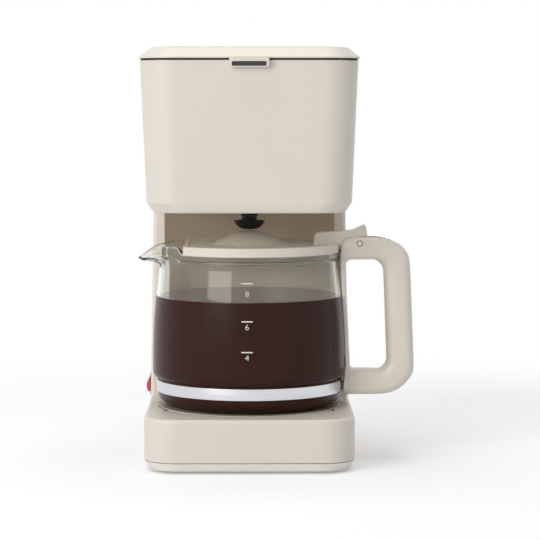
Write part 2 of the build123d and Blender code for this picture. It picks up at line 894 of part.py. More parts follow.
def lid_hinge_pins():
    """Two steel pins, one at each end of the barrel."""
    pins = []
    for side in (-1, 1):
        low, high = sorted((side * (barrel_half_length - 10), side * (barrel_half_length + 5)))
        pins.append(cross_rod(low, high, hinge_y, hinge_z, hinge_pin_radius))
    return pins


def spray_head():
    """The flat spray head under the lid, with its arm over the nozzle."""
    low = deck_top + nozzle_height + spray_gap
    high = lid_top - lid_shell - 0.05
    disc = rod(0, jug_y, low, low + spray_height, spray_radius)
    disc = disc + rod(0, jug_y, low + 1, high, spray_post_radius)
    length = math.hypot(riser_x, riser_y - jug_y)
    angle = math.degrees(math.atan2(riser_y - jug_y, riser_x))
    arm = Pos(length / 2, 0, low + spray_height / 2) * Box(length, spray_arm_width, spray_height)
    end = Pos(length, 0, low + spray_height / 2) * Cylinder(spray_arm_width / 2, spray_height)
    arm = Pos(0, jug_y, 0) * (Rot(0, 0, angle) * (arm + end))
    head = disc + arm
    room = spray_height - 2 * spray_wall
    gutter = Box(length, spray_arm_width - 3 * spray_wall, room)
    gutter = Pos(0, jug_y, 0) * (Rot(0, 0, angle) * (Pos(length / 2, 0, low + spray_height / 2) * gutter))
    inner = rod(0, jug_y, low + spray_wall, low + spray_wall + room, spray_radius - 2 * spray_wall)
    head = head - gutter - inner
    head = head - rod(riser_x, riser_y, low - 1, low + 2 * spray_wall, nozzle_radius + 1)
    for number in range(spray_hole_count):
        turn = 2 * math.pi * number / spray_hole_count
        x = spray_hole_ring * math.cos(turn)
        y = jug_y + spray_hole_ring * math.sin(turn)
        head = head - rod(x, y, low - 1, low + 2 * spray_wall, spray_hole_radius)
    return head


def filter_basket():
    """The cone-shaped basket with its outlet tube and lifting rim."""
    rim_z = deck_top + basket_rim_gap
    rim_high = rim_z + basket_rim_thickness
    collar = rim_z - basket_collar
    outer = [
        (0, outlet_low), (outlet_tube_radius, outlet_low), (outlet_tube_radius, basket_underside),
        (basket_foot_radius, basket_underside), (basket_top_radius, collar), (basket_top_radius, rim_z),
        (basket_rim_radius, rim_z), (basket_rim_radius, rim_high), (0, rim_high),
    ]
    inner = [
        (0, basket_floor), (basket_foot_radius - basket_wall, basket_floor),
        (basket_top_radius - basket_wall, collar), (basket_top_radius - basket_wall, rim_high + 1),
        (0, rim_high + 1),
    ]
    cone = turned(outer) - turned(inner)
    tube = rod(0, jug_y, outlet_low - 1, basket_underside - 1, valve_neck_radius + 0.08)
    stem = rod(0, jug_y, basket_underside - 2, basket_floor + 1, valve_stem_radius + 0.08)
    for number in range(drain_count):
        turn = 2 * math.pi * (number + 0.5) / drain_count
        x = drain_ring * math.cos(turn)
        y = jug_y + drain_ring * math.sin(turn)
        cone = cone - rod(x, y, basket_underside - 1, basket_floor + 1, drain_radius)
    return cone - tube - stem


def mesh_filter():
    """The permanent filter: a thin cone with ribs, a rim and a bar to lift it by."""
    collar_rise = deck_top + basket_rim_gap - basket_collar - basket_underside
    rim_z = deck_top + basket_rim_gap + basket_rim_thickness + fit_gap
    rim_high = rim_z + filter_rim_thickness
    collar = rim_z - filter_collar
    low = basket_floor + valve_seal_thickness + valve_travel + filter_gap
    lean = (basket_top_radius - basket_foot_radius) / collar_rise
    top_r = basket_top_radius - basket_wall - filter_side_gap
    foot_r = basket_foot_radius - basket_wall - 1.5 * filter_side_gap + lean * (low - basket_floor)
    w = filter_wall
    outer = [(0, low), (foot_r, low), (top_r, collar), (top_r, rim_z), (top_r + filter_rim_width, rim_z)]
    outer = outer + [(top_r + filter_rim_width, rim_high), (0, rim_high)]
    inner = [(0, low + w), (foot_r - w, low + w), (top_r - w, collar)]
    inner = inner + [(top_r - w, rim_high + 1), (0, rim_high + 1)]
    cone = turned(outer) - turned(inner)
    rib = make_face(Polyline(
        (foot_r - 2 * w, 0, low + w / 2), (foot_r - w / 2, 0, low + w / 2),
        (top_r - w / 2, 0, collar), (top_r - 2 * w, 0, collar), close=True,
    ))
    rib = extrude(rib, filter_rib_thickness / 2, both=True)
    for number in range(mesh_ribs):
        turn = filter_rib_turn + 360 * number / mesh_ribs
        cone = cone + Pos(0, jug_y, 0) * (Rot(0, 0, turn) * rib)
    return cone


def drip_valve():
    """The black drip-stop valve: cup, neck and stem in one."""
    top = basket_floor + 0.05
    outline = [
        (0, valve_low), (valve_flat_radius, valve_low), (valve_flat_radius + 3.2, valve_low + 1.3),
        (valve_cup_radius - 0.9, valve_low + 3.6), (valve_cup_radius, valve_cup_top),
        (valve_cup_radius - 1.4, valve_cup_top), (valve_neck_radius + 1.4, valve_low + 4.2),
        (valve_neck_radius, valve_low + 5.0), (valve_neck_radius, spring_low),
        (valve_stem_radius, spring_low), (valve_stem_radius, top + valve_seal_thickness),
        (0, top + valve_seal_thickness),
    ]
    return turned(outline)


def valve_seal():
    """The rubber washer on the valve's stem that closes the basket's outlet."""
    low = basket_floor + 0.05
    return ring(valve_stem_radius + 0.02, valve_seal_radius, low, low + valve_seal_thickness)


def valve_spring():
    """The coil spring between the valve's neck and the basket's floor."""
    low = spring_low + spring_wire
    high = basket_underside - 1 - spring_wire
    turns = 5
    coil = Helix(pitch=(high - low) / turns, height=high - low, radius=spring_radius - spring_wire / 2)
    start = Plane(origin=coil @ 0, z_dir=coil % 0)
    wire = sweep(start * Circle(spring_wire / 2), path=coil, is_frenet=True)
    return Pos(0, jug_y, low) * wire


def jug_outline():
    """The jug's outer outline above the plate, as (radius, height) points from foot to rim."""
    return [
        (jug_foot_radius, 0.0), (jug_foot_radius + 4.2, 2.0), (band_seat_radius - 1.6, 5.6),
        (band_seat_radius, band_seat_low), (band_seat_radius, band_seat_high),
        (jug_belly_radius - 0.5, jug_belly_height - 2.6), (jug_belly_radius, jug_belly_height),
        (jug_belly_radius - 0.5, jug_belly_height + 20), (jug_shoulder_radius + 2.0, jug_height - 30),
        (jug_shoulder_radius, jug_height),
    ]


def jug_form(inset, lift, top):
    """The jug's form of revolution, moved in by a wall."""
    side = [(r - inset, jug_base + h) for r, h in jug_outline()]
    side[0] = (jug_foot_radius - inset, jug_base + lift)
    side[-1] = (side[-1][0], top)
    return turned([(0, jug_base + lift)] + side + [(0, top)])


def spout_form(inset, raise_by):
    """The spout: a wedge in plan, with a curved lip in side view."""
    rim = jug_rim + raise_by
    inner_x = -lid_chord + 4
    side = make_face(Polyline(
        (inner_x, 0, jug_rim - spout_drop - 3 + inset),
        (-jug_shoulder_radius, 0, jug_rim - spout_drop + inset),
        (-spout_reach + 8 + inset, 0, jug_rim - spout_drop + 0.6 + inset), (-spout_reach + inset, 0, rim - 4),
        (-spout_reach + 1.8 + inset, 0, rim - 1.8), (-spout_reach + 6, 0, rim + 2),
        (-spout_reach + 12, 0, rim + spout_rise - 1.4), (-spout_reach + 20, 0, rim + spout_rise),
        (inner_x, 0, rim + spout_rise), close=True,
    ))
    tall = extrude(side, spout_half_width + 9, both=True)
    half = spout_half_width - inset
    tip = spout_tip_half_width - inset / 2
    wedge = make_face(Polyline(
        (inner_x, -half - 9, 0), (-jug_shoulder_radius + 4, -half, 0), (-spout_reach, -tip, 0),
        (-spout_reach, tip, 0), (-jug_shoulder_radius + 4, half, 0), (inner_x, half + 9, 0), close=True,
    ))
    return Pos(0, jug_y, 0) * (tall & extrude(wedge, beyond))


def jug_glass():
    """The glass jug: a thin shell with its spout."""
    body = jug_form(0, 0, jug_rim)
    spout = spout_form(0, 0)
    hollow = jug_form(glass_wall, 3.4, jug_rim + 1)
    inside = hollow + spout_form(spout_wall, 9)
    lid_room = rod(0, jug_y, jug_rim + 0.2, jug_rim + 40, lid_ring_radius + 0.6)
    lid_room = lid_room - block(-beyond, -lid_chord - 0.4, -beyond, beyond, 0, beyond)
    shell = (body + (spout - lid_room)) - inside
    dimple = rod(0, jug_y, jug_base - 1, jug_base + jug_foot_rise - 0.6, jug_foot_radius - 4)
    return shell - dimple


def jug_band():
    """The stainless band around the jug's foot, with ends that go into the handle."""
    low = jug_base + band_low
    band = ring(band_seat_radius + 0.05, band_seat_radius + 0.05 + band_thickness, low, low + band_height)
    return band


def rim_clip():
    """The small metal clip that hooks the handle to the jug's rim."""
    x_inner = jug_shoulder_radius - glass_wall - clip_thickness - 0.05
    x_outer = handle_inner_x - 0.05
    top = jug_rim + 0.05 + clip_thickness
    clip = block(x_inner, x_outer, jug_y - clip_width / 2, jug_y + clip_width / 2, jug_rim - 6, top)
    return clip - jug_wall_space()


def jug_wall_space():
    """The glass wall's own space near the rim, with a hair of room."""
    outer = jug_form(-0.05, 0, jug_rim + 0.05)
    return outer - jug_form(glass_wall + 0.05, 3.4, jug_rim + 0.1)


def carafe_lid():
    """Ring, dome, arm and thumb lever of the jug's lid, in one moulding."""
    low = lid_ring_low
    floor = low + lid_floor_height
    ring_part = ring(lid_ring_radius - lid_ring_wall, lid_ring_radius, low, lid_ring_top)
    dish = ring(dome_radius - 2, lid_ring_radius - 1, floor - lid_floor_thickness, floor)
    big_r = (dome_radius ** 2 + dome_height ** 2) / (2 * dome_height)
    ball = Pos(0, jug_y, dome_top - big_r) * Sphere(big_r)
    hollow = Pos(0, jug_y, dome_top - big_r) * Sphere(big_r - dome_shell)
    above = rod(0, jug_y, low, dome_top + 1, dome_radius)
    dome = (ball & above) - hollow
    skirt_r = jug_shoulder_radius - glass_wall - skirt_gap
    skirt = ring(skirt_r - 1.6, skirt_r, jug_rim - skirt_depth, floor - 0.4)
    lid = ring_part + dish + dome + skirt
    lid = lid - block(-beyond, -lid_chord, -beyond, beyond, 0, beyond)
    end_wall = block(-lid_chord, -lid_chord + lid_ring_wall, -beyond, beyond, low, lid_ring_top)
    end_wall = end_wall & rod(0, jug_y, low, lid_ring_top, lid_ring_radius)
    lid = lid + end_wall + lid_arm()
    drip = rod(0, jug_y, dome_top - 9, dome_top + 1, drip_hole_radius)
    bore = depth_rod(pin_x, jug_y - 20, jug_y + 20, pin_height, pin_radius + running_gap)
    return lid - drip - bore


def lid_arm():
    """The arm from the ring out to the pin, with the thumb lever at its end."""
    top = pin_height + 8.6
    ring_edge = lid_ring_radius - 17
    side = make_face(Polyline(
        (ring_edge, 0, lid_ring_low + 0.5), (lid_ring_radius - 0.5, 0, lid_ring_low + 0.5),
        (pin_x - 6.5, 0, pin_height + 3.2), (pin_x + lever_reach, 0, pin_height + 5.4),
        (pin_x + lever_reach - 0.8, 0, pin_height + lever_height), (pin_x - 3, 0, top),
        (ring_edge + 5, 0, top - 1.4), (ring_edge, 0, top - 3.6), close=True,
    ))
    arm = extrude(side, arm_width / 2, both=True)
    boss = depth_rod(pin_x, -arm_width / 2, arm_width / 2, pin_height, pin_boss_radius)
    return Pos(0, jug_y, 0) * (arm + boss)


def handle_outline():
    """The handle's outline in side view, with the lower end wider than the top."""
    corners = [
        (handle_inner_x, 0, handle_top), (handle_reach - handle_shoulder_in, 0, handle_top),
        (handle_reach - handle_taper, 0, handle_top - handle_shoulder_drop),
        (handle_reach, 0, handle_foot + handle_heel_rise),
        (handle_reach - handle_heel_in, 0, handle_foot), (handle_inner_x + 3, 0, handle_foot),
    ]
    face = make_face(Polyline(*corners, close=True))
    for corner, radius in zip(corners, (5, 24, 14, 12, 20, 2)):
        face = fillet(face.vertices().sort_by_distance(corner)[0], radius)
    return face


def handle_window():
    """The finger opening of the handle in side view."""
    face = make_face(Polyline(
        (window_inner_top_x, 0, window_top), (window_outer_top_x, 0, window_top),
        (window_outer_foot_x, 0, window_foot), (window_inner_foot_x, 0, window_foot), close=True,
    ))
    return fillet(face.vertices(), 6)


def handle():
    """The closed loop handle, hollowed for the lid's pin and lever."""
    body = extrude(handle_outline(), handle_width / 2, both=True)
    rims = body.faces().filter_by(Axis.Y)
    body = fillet(rims.edges(), handle_round)
    window = extrude(handle_window(), handle_width, both=True)
    body = body - window
    mouths = [e for e in body.edges() if on_window_rim(e)]
    body = fillet(mouths, window_round)
    body = Pos(0, jug_y, 0) * body
    body = body - jug_form(-fit_gap, -9, jug_rim) - rod(0, jug_y, jug_rim, beyond, lid_ring_radius + 0.6)
    half = arm_width / 2 + 0.5
    slot = block(
        handle_inner_x - 2, lever_slot_end, jug_y - half, jug_y + half, lever_slot_floor, handle_top + 9
    )
    body = body - slot
    body = body - depth_rod(pin_x, jug_y - 20, jug_y + 20, pin_height, pin_radius + 0.02)
    low = jug_base + band_low
    band_room = ring(0.1, band_seat_radius + band_thickness + 0.4, low - 0.3, low + band_height + 0.3)
    body = body - band_room
    return body - screw_room()


def on_window_rim(edge):
    """True for the edges where the finger opening meets the handle's flat sides."""
    middle = edge.center()
    across = window_inner_top_x - 1 < middle.X < window_outer_foot_x + 1
    upright = window_foot - 1 < middle.Z < window_top + 1
    return across and upright and abs(abs(middle.Y) - handle_width / 2) < 0.1


def screw_room():
    """The hole for the band's screw, through the handle's lower arm."""
    z = jug_base + band_low + band_height / 2
    shank = cross_rod(jug_foot_radius, band_screw_seat + 1, jug_y, z, screw_radius + 0.05)
    return shank + cross_rod(band_screw_seat, handle_reach + 1, jug_y, z, screw_head_radius + 0.2)


def band_screw():
    """The screw that pulls the handle against the band."""
    z = jug_base + band_low + band_height / 2
    tip = band_seat_radius + band_thickness + 0.2
    seat = band_screw_seat + 0.1
    body = cross_rod(tip, seat + 1, jug_y, z, screw_radius - 0.1)
    head = cross_rod(seat, seat + screw_head_height, jug_y, z, screw_head_radius)
    return body + head - Pos(seat + screw_head_height, jug_y, z) * Box(1.6, 3.6, 0.9)


def carafe_pin():
    """The steel pin of the jug lid's hinge, fixed in the handle."""
    half = handle_width / 2 - 0.6
    return depth_rod(pin_x, jug_y - half, jug_y + half, pin_height, pin_radius)


def switch_x():
    """The outer face of the column's side at the switch."""
    return -width_at(switch_height, deck_height, column_foot_width, shoulder_z, column_top_width) / 2


def switch_opening():
    """The opening in the column's side for the switch."""
    y = front + switch_pivot_depth
    half_z = switch_mouth / 2 + switch_frame
    half_y = rocker_width / 2 + switch_play + switch_frame
    x = switch_x()
    return block(x - 5, x + 2 * wall, y - half_y, y + half_y, switch_height - half_z, switch_height + half_z)


def switch_housing():
    """The switch's frame and body, with its pivot and two terminals."""
    y = front + switch_pivot_depth
    x = switch_x()
    half_z = switch_mouth / 2
    half_y = rocker_width / 2 + switch_play
    frame_z = half_z + switch_frame - 0.1
    frame_y = half_y + switch_frame - 0.1
    back = x + switch_depth
    body = block(x - 0.6, back, y - frame_y, y + frame_y, switch_height - frame_z, switch_height + frame_z)
    room = block(x - 2, back - 2.5, y - half_y, y + half_y, -half_z, half_z)
    body = body - Pos(0, 0, switch_height) * room
    pivot_x = x - rocker_stand_out + rocker_radius
    body = body + depth_rod(pivot_x, y - half_y - 0.5, y + half_y + 0.5, switch_height, rocker_pivot_radius)
    half_w = terminal_width / 2
    for side in (-1, 1):
        low = switch_height + side * terminal_spacing / 2 - terminal_thickness / 2
        high = low + terminal_thickness
        body = body + block(back - 1, back + terminal_length, y - half_w, y + half_w, low, high)
    return body


def switch_rocker():
    """The red rocker, tipped to its off side."""
    y = front + switch_pivot_depth
    pivot_x = switch_x() - rocker_stand_out + rocker_radius
    half = rocker_width / 2
    a = math.radians(rocker_half_angle)
    r = rocker_radius
    arc = ThreePointArc(
        (-r * math.cos(a), 0, -r * math.sin(a)), (-r, 0, 0), (-r * math.cos(a), 0, r * math.sin(a))
    )
    close = Polyline((-r * math.cos(a), 0, r * math.sin(a)), (0.6, 0, 2.2), (0.6, 0, -2.2),
                     (-r * math.cos(a), 0, -r * math.sin(a)))
    face = make_face([*arc.edges(), *close.edges()])
    body = extrude(face, half, both=True)
    body = body - depth_rod(0, -half - 1, half + 1, 0, rocker_pivot_radius + running_gap)
    body = Rot(0, rocker_tilt, 0) * body
    return Pos(pivot_x, y, switch_height) * body


def cord_gland():
    """The round gland where the mains cord enters at the rear."""
    y_in = rear - wall - gland_groove_gap
    gland = depth_rod(gland_x, y_in, rear + 0.1, gland_height, gland_neck)
    gland = gland + depth_rod(gland_x, rear + 0.05, rear + gland_reach, gland_height, gland_radius)
    gland = gland + depth_rod(gland_x, y_in - gland_lip, y_in + 0.1, gland_height, gland_neck + 1.2)
    return gland - depth_rod(gland_x, y_in - 2 * gland_lip, rear + 2 * gland_reach, gland_height, gland_bore)


def wiring():
    """Two inner wires: gland to switch, and gland to thermostat."""
    y = front + switch_pivot_depth
    low = cover_seam_height + wire_rise
    start_y = rear - wall - gland_inner_length - wire_start_gap
    side_x = switch_wire_inset - column_foot_width / 2
    to_switch = [
        (gland_x - wire_spread, start_y, gland_height),
        (gland_x - wire_spread, start_y - wire_run, gland_height),
        (side_x + wire_run, start_y - 1.5 * wire_run, low), (side_x, y, low),
        (side_x, y, switch_height - switch_wire_drop),
    ]
    to_heat = [
        (gland_x + wire_spread, start_y, gland_height),
        (gland_x + wire_spread, start_y - 1.2 * wire_run, low),
        (heat_wire_x + heat_wire_gap, jug_y + heat_wire_setback, low),
        (heat_wire_x, jug_y + thermostat_radius + thermostat_flange / 2, clamp_z - heat_wire_gap),
    ]
    wires = []
    for points in (to_switch, to_heat):
        path = FilletPolyline(*points, radius=wire_bend)
        begin = Plane(origin=path @ 0, z_dir=path % 0)
        wires.append(sweep(begin * Circle(wire_radius), path=path))
    return wires


def solids_of(piece):
    """The separate solids of a piece or a list of pieces."""
    if isinstance(piece, (list, tuple)):
        return [solid for each in piece for solid in solids_of(each)]
    return list(piece.solids())


def origin_shift(groups):
    """The move that puts the origin under the middle of the whole outline, on the table."""
    box = Compound(children=[solid for group in groups for solid in group]).bounding_box()
    middle = box.center()
    return Pos(-middle.X, -middle.Y, -box.min.Z)


pieces = {
    "base_housing": base_housing,
    "bottom_cover": bottom_cover,
    "rubber_feet": rubber_feet,
    "cover_screws": cover_screws,
    "column_screws": column_screws,
    "main_housing": main_housing,
    "head_floor": head_floor,
    "warming_plate": warming_plate,
    "plate_seal": plate_seal,
    "plate_studs": plate_studs,
    "heating_element": heating_element,
    "heater_clamp": heater_clamp,
    "clamp_screws": clamp_screws,
    "thermostat": thermostat,
    "thermal_fuse": thermal_fuse,
    "check_valve": check_valve,
    "inlet_hose": inlet_hose,
    "riser_hose": riser_hose,
    "hot_water_nozzle": hot_water_nozzle,
    "water_tank": water_tank,
    "tank_strainer": tank_strainer,
    "basket_well": basket_well,
    "top_deck": top_deck,
    "hinge_strip": hinge_strip,
    "strip_seal": strip_foot,
    "lid_hinge_pins": lid_hinge_pins,
    "top_lid": top_lid,
    "lid_seal": lid_seal,
    "spray_head": spray_head,
    "filter_basket": filter_basket,
    "valve_spring": valve_spring,
    "mesh_filter": mesh_filter,
    "drip_valve": drip_valve,
    "valve_seal": valve_seal,
    "jug_glass": jug_glass,
    "jug_band": jug_band,
    "rim_clip": rim_clip,
    "handle": handle,
    "band_screw": band_screw,
    "carafe_pin": carafe_pin,
    "carafe_lid": carafe_lid,
    "switch_housing": switch_housing,
    "switch_rocker": switch_rocker,
    "cord_gland": cord_gland,
    "wiring": wiring,
}


def write_parts():
    """Build each piece and write it to its own file."""
    os.makedirs("parts", exist_ok=True)
    built = {name: solids_of(make()) for name, make in pieces.items()}
    shift = origin_shift(built.values())
    for name, solids in built.items():
        moved = [shift * solid for solid in solids]
        export_step(Compound(children=moved), f"parts/{name}.step")
        print(name, len(moved), "volume", round(sum(solid.volume for solid in moved), 1))
    print("moved by", [round(value, 4) for value in shift.position])


write_parts()
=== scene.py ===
import json
import math

import bmesh
import bpy
import numpy as np
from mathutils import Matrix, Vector


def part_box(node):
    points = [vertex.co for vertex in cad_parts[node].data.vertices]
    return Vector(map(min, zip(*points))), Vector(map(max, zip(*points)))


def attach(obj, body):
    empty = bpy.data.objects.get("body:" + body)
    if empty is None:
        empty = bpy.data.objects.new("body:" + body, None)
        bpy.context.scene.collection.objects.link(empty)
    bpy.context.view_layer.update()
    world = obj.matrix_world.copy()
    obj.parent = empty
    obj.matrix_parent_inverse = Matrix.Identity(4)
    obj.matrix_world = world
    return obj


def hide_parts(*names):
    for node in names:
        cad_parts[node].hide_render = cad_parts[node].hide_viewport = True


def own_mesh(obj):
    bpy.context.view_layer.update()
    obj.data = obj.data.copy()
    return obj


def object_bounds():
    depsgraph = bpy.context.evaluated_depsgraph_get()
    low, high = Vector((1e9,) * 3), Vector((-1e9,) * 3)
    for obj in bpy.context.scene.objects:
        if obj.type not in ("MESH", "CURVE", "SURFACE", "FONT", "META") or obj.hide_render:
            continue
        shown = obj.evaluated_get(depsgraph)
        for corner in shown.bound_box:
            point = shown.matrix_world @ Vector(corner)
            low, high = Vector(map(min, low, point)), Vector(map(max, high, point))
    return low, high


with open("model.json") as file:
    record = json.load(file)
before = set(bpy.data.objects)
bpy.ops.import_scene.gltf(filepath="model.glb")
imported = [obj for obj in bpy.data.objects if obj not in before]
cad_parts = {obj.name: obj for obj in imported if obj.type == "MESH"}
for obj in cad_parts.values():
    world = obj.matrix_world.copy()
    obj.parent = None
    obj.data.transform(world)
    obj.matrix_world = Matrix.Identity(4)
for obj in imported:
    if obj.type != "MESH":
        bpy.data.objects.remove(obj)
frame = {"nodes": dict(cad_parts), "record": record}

# A drip coffee maker in cream plastic with a glass jug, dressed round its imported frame.
# Shapes are worked out in millimetres about the machine's middle plane: x is 0 there, y is 0 half
# way between the casing's front and rear, z is 0 on the table. place() turns them into the frame.

mm = 0.001
cad_low, cad_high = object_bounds()


def box_mm(node):
    """The low and high corner of a CAD node, in millimetres."""
    low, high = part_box(node)
    return np.array(low) / mm, np.array(high) / mm


casing_low, casing_high = box_mm("base_housing")
middle = np.array([(casing_low[0] + casing_high[0]) / 2, (casing_low[1] + casing_high[1]) / 2, 0.0])

# Casing
half_base = (casing_high[0] - casing_low[0]) / 2
half_depth = (casing_high[1] - casing_low[1]) / 2
base_low = casing_low[2]
deck = casing_high[2]
corner = 24.0
wall = 2.4
deck_round = 2.6
plate_opening = 67.6
column_top_half = 72.2
pillar_front = 25.0
pillar_round = 3.0
pillar_inner_round = 1.0
recess_radius = 78.1

# Head
head_low = box_mm("head_floor")[0][2]
shoulder = head_low + 7.0
head_high = 290.3
shoulder_half = 72.6
top_half = 76.8
chamfer_inset = 4.4
front_draft = 3.0

# Lid of the machine
lid_low = 291.6
lid_high = cad_high[2] / mm
lid_overhang = 1.0
cap_wall = 2.0
hinge_y = 84.0
hinge_z = lid_high - 3.1
ear_near, ear_far = 62.0, 69.8
tab_top = lid_low + 1.1
tab_slot = tab_top - 5.0
tab_half = 3.8
tab_front = -half_depth - 5.0

# Jug. glass_floor, lip_start, glass_top and coffee_height are heights over its foot
jug_y = -20.0
jug_low = box_mm("jug_glass")[0][2]
jug_rim = jug_low + 110.0
glass_wall = 2.4
glass_floor = 3.4
foot_radius = 57.4
rim_radius = 66.3
lip_start, glass_top = 103.6, 111.6
coffee_height = 80.4
band_low = jug_low + 10.6
band_high = band_low + 8.3
lid_chord = 47.4
ring_radius = 66.0
ring_low = jug_rim + 1.9
ring_high = ring_low + 6.5
dome_radius = 28.0
dome_top = box_mm("drip_valve")[0][2] - 1.0
mark_x = -1.7
tick_half_x, tick_half_z = 3.95, 0.42
digit_width = 1.12
ink_front, ink_back = 0.09, 0.02
pin_x, pin_z = 80.5, 158.2
pin_radius, pin_half = 1.95, 11.3
handle_half = 11.5
lever_half = 6.4

# Valve and switch
spring_wire, spring_turns = 0.8, 5
rocker_radius = 9.4
rocker_tilt = math.radians(5.5)


def place(points):
    """Millimetres about the middle plane to metres in the frame."""
    return (np.asarray(points, float) + middle) * mm


def around_jug(points):
    """Points about the jug's axis to points about the machine's middle."""
    return np.asarray(points, float) + [0, jug_y, 0]


# Shapes worked out as arrays

arc_share = 0.48
nearly_straight = math.pi / 2 - 0.001


def unit(vectors):
    """Vectors drawn to a length of one, along the last axis."""
    return vectors / np.maximum(np.linalg.norm(vectors, axis=-1, keepdims=True), 1e-9)


def polar(radius, bearing):
    """Points at a radius and a bearing, as x and y."""
    return np.column_stack([radius * np.cos(bearing), radius * np.sin(bearing)])


def corner_arc(before, at, after, radius, steps):
    """The arc of that radius tangent to both sides of a corner: its centre lies on the corner's
    bisector, and its points turn evenly from one tangent point to the other. It takes up less than
    half of either side, and on a straight stretch all its points lie at the corner."""
    u, v = before - at, after - at
    lu, lv = np.linalg.norm(u), np.linalg.norm(v)
    u, v = u / lu, v / lv
    half = math.acos(np.clip(u @ v, -1, 1)) / 2
    if radius <= 0 or half > nearly_straight:
        return np.repeat(at[None], steps + 1, axis=0)
    reach = min(radius / math.tan(half), arc_share * lu, arc_share * lv)
    radius = reach * math.tan(half)
    centre = at + (u + v) / np.linalg.norm(u + v) * radius / math.sin(half)
    first, last = at + u * reach - centre, at + v * reach - centre
    sweep = math.pi - 2 * half
    t = np.linspace(0, 1, steps + 1)[:, None]
    return centre + (np.sin((1 - t) * sweep) * first + np.sin(t * sweep) * last) / math.sin(sweep)


def rounded_path(points, radii, steps):
    """An open outline whose inner corners are arcs of the given radii."""
    points = np.asarray(points, float)
    radii = np.broadcast_to(radii, len(points) - 2)
    arcs = [corner_arc(*points[i:i + 3], radii[i], steps) for i in range(len(points) - 2)]
    return np.concatenate([points[:1], *arcs, points[-1:]])


def rounded_ring(points, radii, steps):
    """A closed outline whose corners are arcs of the given radii."""
    return rounded_path([points[-1], *points, points[0]], radii, steps)[1:-1]


def with_sides(arcs, count):
    """Follows each corner arc of a closed loop with that many points along the straight side after it."""
    following = np.roll(arcs, -1, axis=-3)[..., :1, :]
    t = np.linspace(0, 1, count + 2)[1:-1, None]
    return np.concatenate([arcs, arcs[..., -1:, :] * (1 - t) + following * t], axis=-2)


def box_loops(half_x, half_y, radius, centre_y=0.0, arc=14, side=6):
    """Rounded rectangles, one per row: each quadrant turns an arc about its corner's centre, and the
    straight sides between are divided evenly. Sizes may differ from row to row."""
    half_x, half_y, radius, centre_y = (
        np.atleast_1d(np.asarray(v, float))[:, None, None] for v in (half_x, half_y, radius, centre_y)
    )
    turn = (np.arange(4)[:, None] + np.linspace(0, 1, arc + 1)) * math.pi / 2
    sign_x = np.array([1, -1, -1, 1])[:, None]
    sign_y = np.array([1, 1, -1, -1])[:, None]
    x = sign_x * (half_x - radius) + radius * np.cos(turn)
    y = sign_y * (half_y - radius) + radius * np.sin(turn) + centre_y
    loops = with_sides(np.stack(np.broadcast_arrays(x, y), axis=-1), side)
    return loops.reshape(len(loops), -1, 2)


def lathe(profile, count):
    """A profile of (radius, height) points turned about the upright axis: x = r cos a, y = r sin a."""
    profile = np.asarray(profile, float)
    a = np.linspace(0, 2 * math.pi, count, endpoint=False)
    ring = np.stack([np.cos(a), np.sin(a), np.zeros(count)], axis=-1)
    up = np.array([0, 0, 1.0])
    return profile[:, None, :1] * ring + profile[:, None, 1:] * up


def inset_outline(outline, amount):
    """A closed outline moved inwards along the mean normal of its two sides at each point."""
    following = np.roll(outline, -1, axis=0)
    along = unit(unit(following - outline) + unit(outline - np.roll(outline, 1, axis=0)))
    area = np.sum(outline[:, 0] * following[:, 1] - following[:, 0] * outline[:, 1])
    inward = np.stack([-along[:, 1], along[:, 0]], axis=-1) * np.sign(area)
    return outline + inward * amount


def stacked(loops, heights):
    """Rows of outlines drawn in plan, each lifted to its own height."""
    return np.stack([np.column_stack([loop, np.full(len(loop), z)]) for loop, z in zip(loops, heights)])


def upright(rows, depth):
    """Rows of outlines drawn in x and z, with their depth along Y."""
    return np.stack([rows[..., 0], np.broadcast_to(depth, rows.shape[:2]), rows[..., 1]], axis=-1)


# How near two points merge and how short an edge is dropped, in metres
merge_gap, flat_gap = 2e-6, 1e-6


def mesh_of(name, points, faces, sharp=40.0):
    """A mesh with doubles merged, flat faces dropped and every face turned outwards."""
    mesh = bpy.data.meshes.new(name)
    mesh.from_pydata(place(points).tolist(), [], faces)
    work = bmesh.new()
    work.from_mesh(mesh)
    bmesh.ops.remove_doubles(work, verts=work.verts, dist=merge_gap)
    bmesh.ops.dissolve_degenerate(work, edges=work.edges, dist=flat_gap)
    bmesh.ops.recalc_face_normals(work, faces=work.faces)
    work.to_mesh(mesh)
    work.free()
    mesh.polygons.foreach_set("use_smooth", np.ones(len(mesh.polygons), bool))
    mesh.set_sharp_from_angle(angle=math.radians(sharp))
    return mesh


def skin(name, grid, closed_along=False, capped=False, sharp=40.0):
    """A mesh from rows of points, each closed round, with quads between neighbouring rows. The last row
    meets the first where closed_along is set, and both are closed with one face where capped is set."""
    rows, columns = grid.shape[:2]
    index = np.arange(rows * columns).reshape(rows, columns)
    index = np.concatenate([index, index[:, :1]], axis=1)
    if closed_along:
        index = np.concatenate([index, index[:1]], axis=0)
    quads = np.stack([index[:-1, :-1], index[:-1, 1:], index[1:, 1:], index[1:, :-1]], axis=-1)
    faces = quads.reshape(-1, 4).tolist()
    if capped:
        faces.append(list(range(columns)))
        faces.append(list(range((rows - 1) * columns, rows * columns)))
    return mesh_of(name, grid.reshape(-1, 3), faces, sharp)


def turned(name, section, count=144, **how):
    """A skin from a section of (radius, height) points turned about the jug's axis."""
    return skin(name, around_jug(lathe(section, count)), **how)


